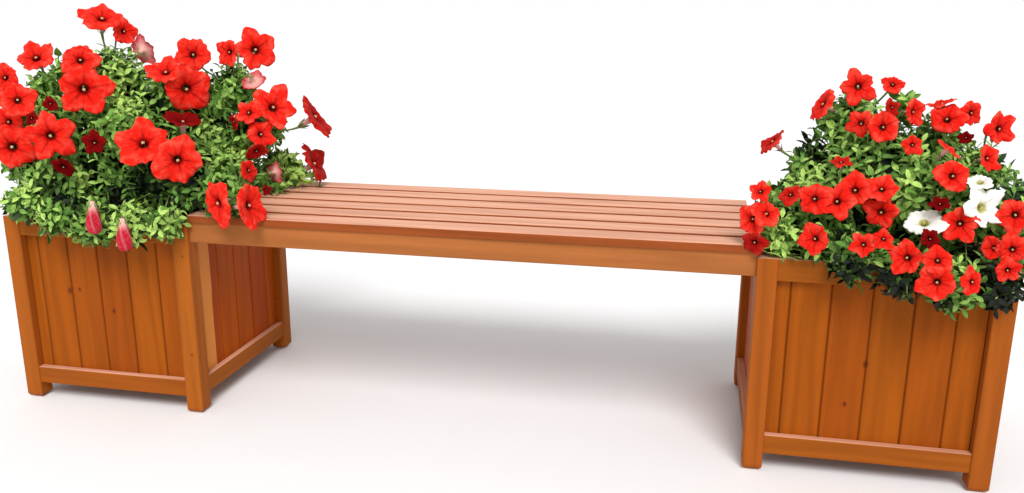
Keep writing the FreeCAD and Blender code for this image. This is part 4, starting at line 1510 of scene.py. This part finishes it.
def petal_finish(name, fresh, light, dusky, throat, vein_and_crease_shade, eye):
    """Velvety face of a bloom: a painted highlight towards the rim, painted shade in its folds, darker vein
    lines, its throat pale.
    """
    petal = Finish(name, 0.6, 0.03)
    outward, round_part = petal.shape()
    tint = petal.tint()
    # The tint runs from the dusky colour, painted shade on blooms in the shade, to the fresh one
    bright = petal.smooth(tint, 0.0, 0.8)
    base = petal.blend(bright, scaled(dusky), scaled(fresh))
    # Painted highlight: lighter red towards the rim, where the light falls on the lobes
    cloud = petal.smooth(petal.cloud(petal.place(), 75.0), 0.38, 0.72)
    painted_highlight = petal.times(petal.smooth(outward, 0.3, 0.95, 0.15, 0.9), cloud)
    base = petal.blend(petal.times(painted_highlight, bright), base, scaled(light))
    turns = petal.zigzag(petal.times(round_part, float(PETALS)), 0.5)
    # Painted shade in the creases: down the middle of each petal and where the petals join
    fold = petal.smooth(turns, 0.0, 0.12, 1.0, 0.0)
    joint = petal.smooth(turns, 0.43, 0.5)
    drawn_out = {"X": petal.times(round_part, 46.0), "Y": petal.times(outward, 1.6), "Z": tint}
    rays = petal.smooth(petal.cloud(petal.add("CombineXYZ", drawn_out)[0], 2.4, 3.0, 0.6), 0.42, 0.72)
    star = petal.smooth(turns, 0.0, 0.24, 0.6, 0.0)
    star = petal.times(star, petal.smooth(outward, 0.25, 0.8, 1.0, 0.0))
    dark = petal.larger(petal.times(fold, 0.42), petal.times(joint, 0.45))
    dark = petal.larger(petal.larger(dark, petal.times(rays, 0.3)), star)
    dark = petal.times(petal.times(dark, petal.smooth(outward, 0.25, 0.95, 1.0, 0.25)), vein_and_crease_shade)
    ring = petal.smooth(outward, 0.12, 0.34, 1.0, 0.0)
    dark = petal.larger(dark, petal.times(ring, 0.85 * vein_and_crease_shade))
    colour = petal.blend(dark, base, scaled(dusky, 0.7))
    deep = petal.times(petal.smooth(outward, eye * 0.6, eye, 1.0, 0.0), 0.9)
    petal.paint(petal.blend(deep, colour, scaled(throat, 0.9)))
    petal.relief(petal.times_plus(fold, -0.8, petal.times(rays, -0.4)), 0.8, 0.002)
    return petal.material


def petal_back_finish(name, rim, tube):
    """Duller back of a bloom, paler towards its tube."""
    back = Finish(name, 0.6, 0.03)
    outward, round_part = back.shape()
    drawn_out = back.add("CombineXYZ", {"X": back.times(round_part, 40.0), "Y": outward})[0]
    rays = back.smooth(back.cloud(drawn_out, 2.0), 0.4, 0.7)
    share = back.times_plus(rays, 0.3, back.smooth(outward, 0.15, 1.0, 0.0, 0.8))
    back.paint(back.blend(share, scaled(tube), scaled(rim)))
    back.relief(rays, 0.4, 0.0008)
    return back.material


def anther_finish(settings):
    """Powdery cream anthers."""
    anther = Finish("Anthers", 0.9, 0.2)
    grain = anther.cloud(anther.place(), 900.0, 2.0)
    anther.paint(anther.blend(grain, scaled(settings.anther, 0.7), scaled(settings.anther)))
    return anther.material


def furled_finish(settings):
    """Crimson folds between pale margins, paler towards the calyx."""
    furled = Finish("Furled petals", 0.6, 0.1)
    along, round_part = furled.shape()
    turns = furled.zigzag(furled.times(round_part, float(PETALS)), 0.5)
    core = furled.times(furled.smooth(turns, 0.02, 0.2, 0.7, 1.0), furled.smooth(along, 0.1, 0.42))
    streaks = furled.smooth(furled.cloud(furled.place(), 300.0), 0.2, 0.6, 0.7, 1.0)
    dark, light = scaled(settings.pale_back), scaled(settings.pale_back, 0.6)
    pale = furled.blend(furled.smooth(along, 0.15, 0.6), dark, light)
    furled.paint(furled.blend(furled.times(core, streaks), pale, scaled(settings.furled)))
    furled.relief(turns, 0.6, 0.002)
    return furled.material


def add_bloom(pile, chance, face, facing, radius, tint, notches):
    """Petunia bloom: a slender tube that opens into five joined, ruffled petals."""
    side, up = across_of(facing)
    roll, phase, flop_way = (chance.uniform(0, TURN) for _ in range(3))
    flop, cup, ruffle, notch = (chance.uniform(*r) for r in (BLOOM_FLOPS, BLOOM_CUPS, BLOOM_RUFFLES, notches))
    lengths = [chance.uniform(*PETAL_LENGTHS) for _ in range(PETALS)]
    bends = [chance.uniform(*PETAL_BENDS) for _ in range(PETALS)]
    waves = chance.randint(*RIM_WAVES)
    points = []
    for out, forward in BLOOM_SECTION:
        for angle in angles_round(BLOOM_COLUMNS):
            lobe = abs(math.cos(PETALS / 2 * angle))
            petal = round(PETALS * angle / TURN) % PETALS
            reach = out * (1 - notch * (1 - lobe) ** NOTCH_CURVE * out**2)
            reach *= 1 + (lengths[petal] - 1) * lobe * out**2
            wave = WAVE_OUT * out**3 * math.sin(waves * angle)
            reach *= 1 + LONG_SIDE * out**2 * math.sin(angle + phase) + wave
            reach *= 1 + PETAL_POINT * out**4 * max(0.0, 1 - POINT_NARROWNESS * (1 - lobe))
            rise = forward + cup * out**2 + ruffle * out**3 * math.cos(PETALS * angle)
            rise += WAVE_FORWARD * out**4 * math.sin(waves * angle + phase) + bends[petal] * lobe * out**3
            rise -= flop * out**2 * (0.5 + 0.5 * math.cos(angle - flop_way))
            points.append(face + turned(side, up, angle + roll) * (reach * radius) + facing * (rise * radius))
    faces, places = ring_faces([out for out, forward in BLOOM_SECTION], BLOOM_COLUMNS)
    pile.add(points, faces, places, tint)


def add_furled(pile, chance, middle, half):
    """Spindle of folded petals that hangs straight down."""
    lean = Vector((chance.uniform(*FURLED_LEANS), FURLED_FORWARD, 0))
    points = []
    for share, wide in FURLED_SECTION:
        centre = middle + UP * (half * (1 - 2 * share)) + lean * (half * share)
        for angle in angles_round(FURLED_COLUMNS):
            fold = FOLD_HEIGHT * math.cos(PETALS * angle)
            ridge = 1 + fold * math.sin(math.pi * min(1.0, share * FOLD_END))
            twist = angle + FURLED_TWIST * share + FURLED_TURN
            out = Vector((math.cos(twist), math.sin(twist), 0))
            points.append(centre + out * (half * FURLED_WIDTH * wide * ridge))
    faces, places = ring_faces([share for share, wide in FURLED_SECTION], FURLED_COLUMNS)
    pile.add(points, faces, places, chance.random())


def add_anthers(pile, face, facing, radius):
    """Cluster of anthers round the stigma, just inside the throat."""
    side, up = across_of(facing)
    heart = face - facing * (radius * ANTHER_DEPTH)
    grains = [(heart + facing * (radius * STIGMA_RADIUS), radius * STIGMA_RADIUS)]
    for angle in angles_round(PETALS):
        grains.append((heart + turned(side, up, angle) * (radius * ANTHER_RING), radius * ANTHER_RADIUS))
    for centre, size in grains:
        points, faces, places = grain_shape(size)
        pile.add([centre + point for point in points], faces, places, 0.5)


def add_calyx(pile, stems, side, chance, face, facing, radius):
    """Five narrow sepals round the tube's base, and the stalk down into the foliage."""
    base = face - facing * (radius * TUBE_LENGTH)
    across, up = across_of(facing)
    for angle in angles_round(PETALS):
        radial = turned(across, up, angle)
        start = base + radial * (radius * SEPAL_OFFSET) - facing * (radius * SEPAL_BACK)
        way = (facing + radial * SEPAL_SPREAD).normalized()
        outer = (radial - facing * SEPAL_TILT).normalized()
        shape = (radius * SEPAL_LENGTH, radius * SEPAL_WIDTH, SEPAL_DROOP, SEPAL_FOLD)
        add_leaf(pile, start, way, outer, *shape, SEPAL_TINT)
    centre, size = min(clumps_of(side), key=lambda clump: (clump[0] - base).length - clump[1])
    inward = centre - base
    end = base + inward.normalized() * max(STALK_DEPTH, inward.length - size + STALK_DEPTH)
    if in_wood(side, end, 0.0):
        end = base.lerp(end, STALK_LEFT)
    sag = (-facing * STALK_BACK - UP * STALK_DOWN) * (end - base).length * STALK_SAG
    path = bent_path(base - facing * (radius * STALK_OVERLAP), end, sag, len(STALK_RADII) - 1)
    add_tube(stems, path, STALK_RADII, chance.random())


def thicken(piece, thickness):
    """Give petals their thickness, with the second finish on the back."""
    solid = piece.modifiers.new("Thickness", "SOLIDIFY")
    solid.thickness = thickness
    solid.offset = -1.0
    solid.material_offset = 1
    solid.material_offset_rim = 0


def plant_blooms(scene, side, name, blooms, slot, replaced, finishes, notches):
    """Petals, anthers, calyxes and stalks of the given blooms."""
    chance = random.Random(scene.bench_planting.seed * 17 + len(name))
    petals, anthers, sepals, stalks = Pile(), Pile(), Pile(), Pile()
    for face, facing, radius, tint in blooms:
        add_bloom(petals, chance, face, facing, radius, tint, notches)
        add_anthers(anthers, face, facing, radius)
        add_calyx(sepals, stalks, side, chance, face, facing, radius)
    take_place(anthers.make(f"{name}_anthers", anther_finish(scene.bench_blooms)), slot, replaced)
    take_place(sepals.make(f"{name}_calyxes", leaf_finish(scene.bench_planting)), "foliage", replaced)
    take_place(stalks.make(f"{name}_stalks", stem_finish(scene.bench_planting)), "foliage", replaced)
    made = take_place(petals.make(f"{name}_petals", *finishes), slot, replaced)
    thicken(made, scene.bench_blooms.petal_thickness)


class BENCH_OT_blooms(bpy.types.Operator):
    """Place the red petunias of a box, with their calyxes, stalks and anthers"""

    bl_idname = "bench.blooms"
    bl_label = "Red Blooms"

    side: side_setting()

    def execute(self, context):
        scene, side = context.scene, self.side
        blooms = scene.bench_blooms
        colours = (blooms.red, blooms.red_light, blooms.dusky, blooms.throat)
        finishes = (
            petal_finish(f"{side} red petals", *colours, 1.0, 0.11),
            petal_back_finish(f"{side} petal backs", blooms.red_back, blooms.pale_back),
        )
        plant_blooms(
            scene, side, f"{side}_box_red", red_blooms(scene, side), "red_petal",
            f"{side}_box_red_blooms", finishes, RED_NOTCHES,
        )
        return {"FINISHED"}


class BENCH_OT_white_blooms(bpy.types.Operator):
    """Place the white petunias low on the right box"""

    bl_idname = "bench.white_blooms"
    bl_label = "White Blooms"

    def execute(self, context):
        scene = context.scene
        blooms = scene.bench_blooms
        # The scaled white is the painted shade on the white blooms
        colours = (blooms.white, blooms.white, scaled(blooms.white, 0.8), blooms.white_throat)
        finishes = (
            petal_finish("White petals", *colours, 0.3, 0.3),
            petal_back_finish("White petal backs", blooms.white, blooms.white_throat),
        )
        plant_blooms(
            scene, "right", "right_box_white", white_blooms(scene), "white_petal",
            "right_box_white_blooms", finishes, WHITE_NOTCHES,
        )
        return {"FINISHED"}


class BENCH_OT_furled_blooms(bpy.types.Operator):
    """Hang the two faded, furled blooms below the left box's rim"""

    bl_idname = "bench.furled_blooms"
    bl_label = "Furled Blooms"

    def execute(self, context):
        scene = context.scene
        planting = scene.bench_planting
        chance = random.Random(planting.seed * 5)
        petals, sepals, stalks = Pile(), Pile(), Pile()
        for across, down, tall in FURLED_BLOOMS:
            middle, _, half = bloom_from_photo(scene, "left", across, down, tall, 90, 0, FURLED_STAND)
            add_furled(petals, chance, middle, half)
            face = middle + UP * (half * (1 - TUBE_LENGTH))
            add_calyx(sepals, stalks, "left", chance, face, -UP, half)
        replaced = "left_box_red_blooms"
        finish = furled_finish(scene.bench_blooms)
        take_place(petals.make("left_box_furled_petals", finish), "red_petal", replaced)
        take_place(sepals.make("left_box_furled_calyxes", leaf_finish(planting)), "foliage", replaced)
        take_place(stalks.make("left_box_furled_stalks", stem_finish(planting)), "foliage", replaced)
        return {"FINISHED"}


# Stage


class BENCH_OT_stage(bpy.types.Operator):
    """Lay the floor, hang the lights and set up the camera"""

    bl_idname = "bench.stage"
    bl_label = "Stage"

    def execute(self, context):
        settings = context.scene.bench_stage
        self.camera(context.scene, settings)
        self.floor(settings)
        self.key_light(settings)
        self.sky(context.scene, settings)
        context.scene.view_settings.view_transform = "Standard"
        return {"FINISHED"}

    def camera(self, scene, settings):
        """Camera at the photograph's viewing angle."""
        data = bpy.data.cameras.new("Camera")
        data.sensor_width = SENSOR_WIDTH
        data.lens = settings.camera_lens
        data.clip_end = settings.floor_radius * 2
        made = new_object("Camera", data)
        made.location = settings.camera_place
        made.rotation_euler = settings.camera_turn
        scene.camera = made

    def floor(self, settings):
        """Round pale floor."""
        shape = bmesh.new()
        bmesh.ops.create_circle(shape, cap_ends=True, segments=96, radius=settings.floor_radius)
        made = new_object("floor", mesh_of("floor", shape))
        pale = Finish("Pale floor", 0.9, 0.1)
        cloud = pale.cloud(pale.place(), 3.0, 2.0)
        pale.paint(pale.blend(cloud, scaled(settings.floor, 0.995), scaled(settings.floor)))
        made.data.materials.append(pale.material)

    def key_light(self, settings):
        """Broad soft light from the front, as even on the far floor as on the bench."""
        data = bpy.data.lights.new("Key light", "SUN")
        data.energy = settings.key_strength
        data.angle = settings.key_spread
        made = new_object("Key light", data)
        made.location = KEY_PLACE
        made.rotation_euler = (-made.location).to_track_quat("-Z", "Y").to_euler()

    def sky(self, scene, settings):
        """White background, softer overhead and on the shaded side."""
        world = bpy.data.worlds.new("Studio")
        scene.world = world
        world.use_nodes = True
        sky = Nodes(world.node_tree)
        way = sky.parts(sky.add("TexCoord")["Generated"])
        high = sky.smooth(way["Z"], 0.05, 0.4)
        strength = sky.times_plus(high, settings.sky_high - settings.sky_low, settings.sky_low)
        right = sky.smooth(way["X"], 0.4, 0.9, 1.0, settings.sky_right)
        background = sky.tree.nodes["Background"]
        sky.feed(background.inputs["Color"], (1, 1, 1, 1))
        sky.feed(background.inputs["Strength"], sky.times(strength, right))


class BENCH_PT_panel(bpy.types.Panel):
    """Settings and steps of the bench"""

    bl_idname = "BENCH_PT_panel"
    bl_label = "Bench"
    bl_space_type = "VIEW_3D"
    bl_region_type = "UI"
    bl_category = "Bench"

    def draw(self, context):
        for name in GROUPS:
            settings = getattr(context.scene, name)
            column = self.layout.box().column()
            for setting in settings.__annotations__:
                column.prop(settings, setting)
        column = self.layout.column()
        for step in ("stage", "seat_wood", "fasteners", "soil"):
            column.operator(f"bench.{step}")
        for side in BOX_SIDES:
            for step in ("box_wood", "foliage", "blooms"):
                column.operator(f"bench.{step}").side = side
        for step in ("white_blooms", "furled_blooms"):
            column.operator(f"bench.{step}")


GROUPS = {
    "bench_wood": BENCH_PG_wood,
    "bench_planting": BENCH_PG_planting,
    "bench_blooms": BENCH_PG_blooms,
    "bench_stage": BENCH_PG_stage,
}
CLASSES = (
    *GROUPS.values(),
    BENCH_OT_stage,
    BENCH_OT_box_wood,
    BENCH_OT_seat_wood,
    BENCH_OT_fasteners,
    BENCH_OT_soil,
    BENCH_OT_foliage,
    BENCH_OT_blooms,
    BENCH_OT_white_blooms,
    BENCH_OT_furled_blooms,
    BENCH_PT_panel,
)


def register():
    """Register the classes and hang the settings on the scene."""
    for made in CLASSES:
        bpy.utils.register_class(made)
    for name, group in GROUPS.items():
        setattr(bpy.types.Scene, name, bpy.props.PointerProperty(type=group))


def unregister():
    """Take the settings and the classes away again."""
    for name in GROUPS:
        delattr(bpy.types.Scene, name)
    for made in reversed(CLASSES):
        bpy.utils.unregister_class(made)


def main():
    """Dress the whole bench."""
    register()
    bpy.ops.bench.stage()
    for side in BOX_SIDES:
        bpy.ops.bench.box_wood(side=side)
    bpy.ops.bench.seat_wood()
    bpy.ops.bench.fasteners()
    bpy.ops.bench.soil()
    for side in BOX_SIDES:
        bpy.ops.bench.foliage(side=side)
        bpy.ops.bench.blooms(side=side)
    bpy.ops.bench.white_blooms()
    bpy.ops.bench.furled_blooms()


if __name__ == "__main__":
    main()
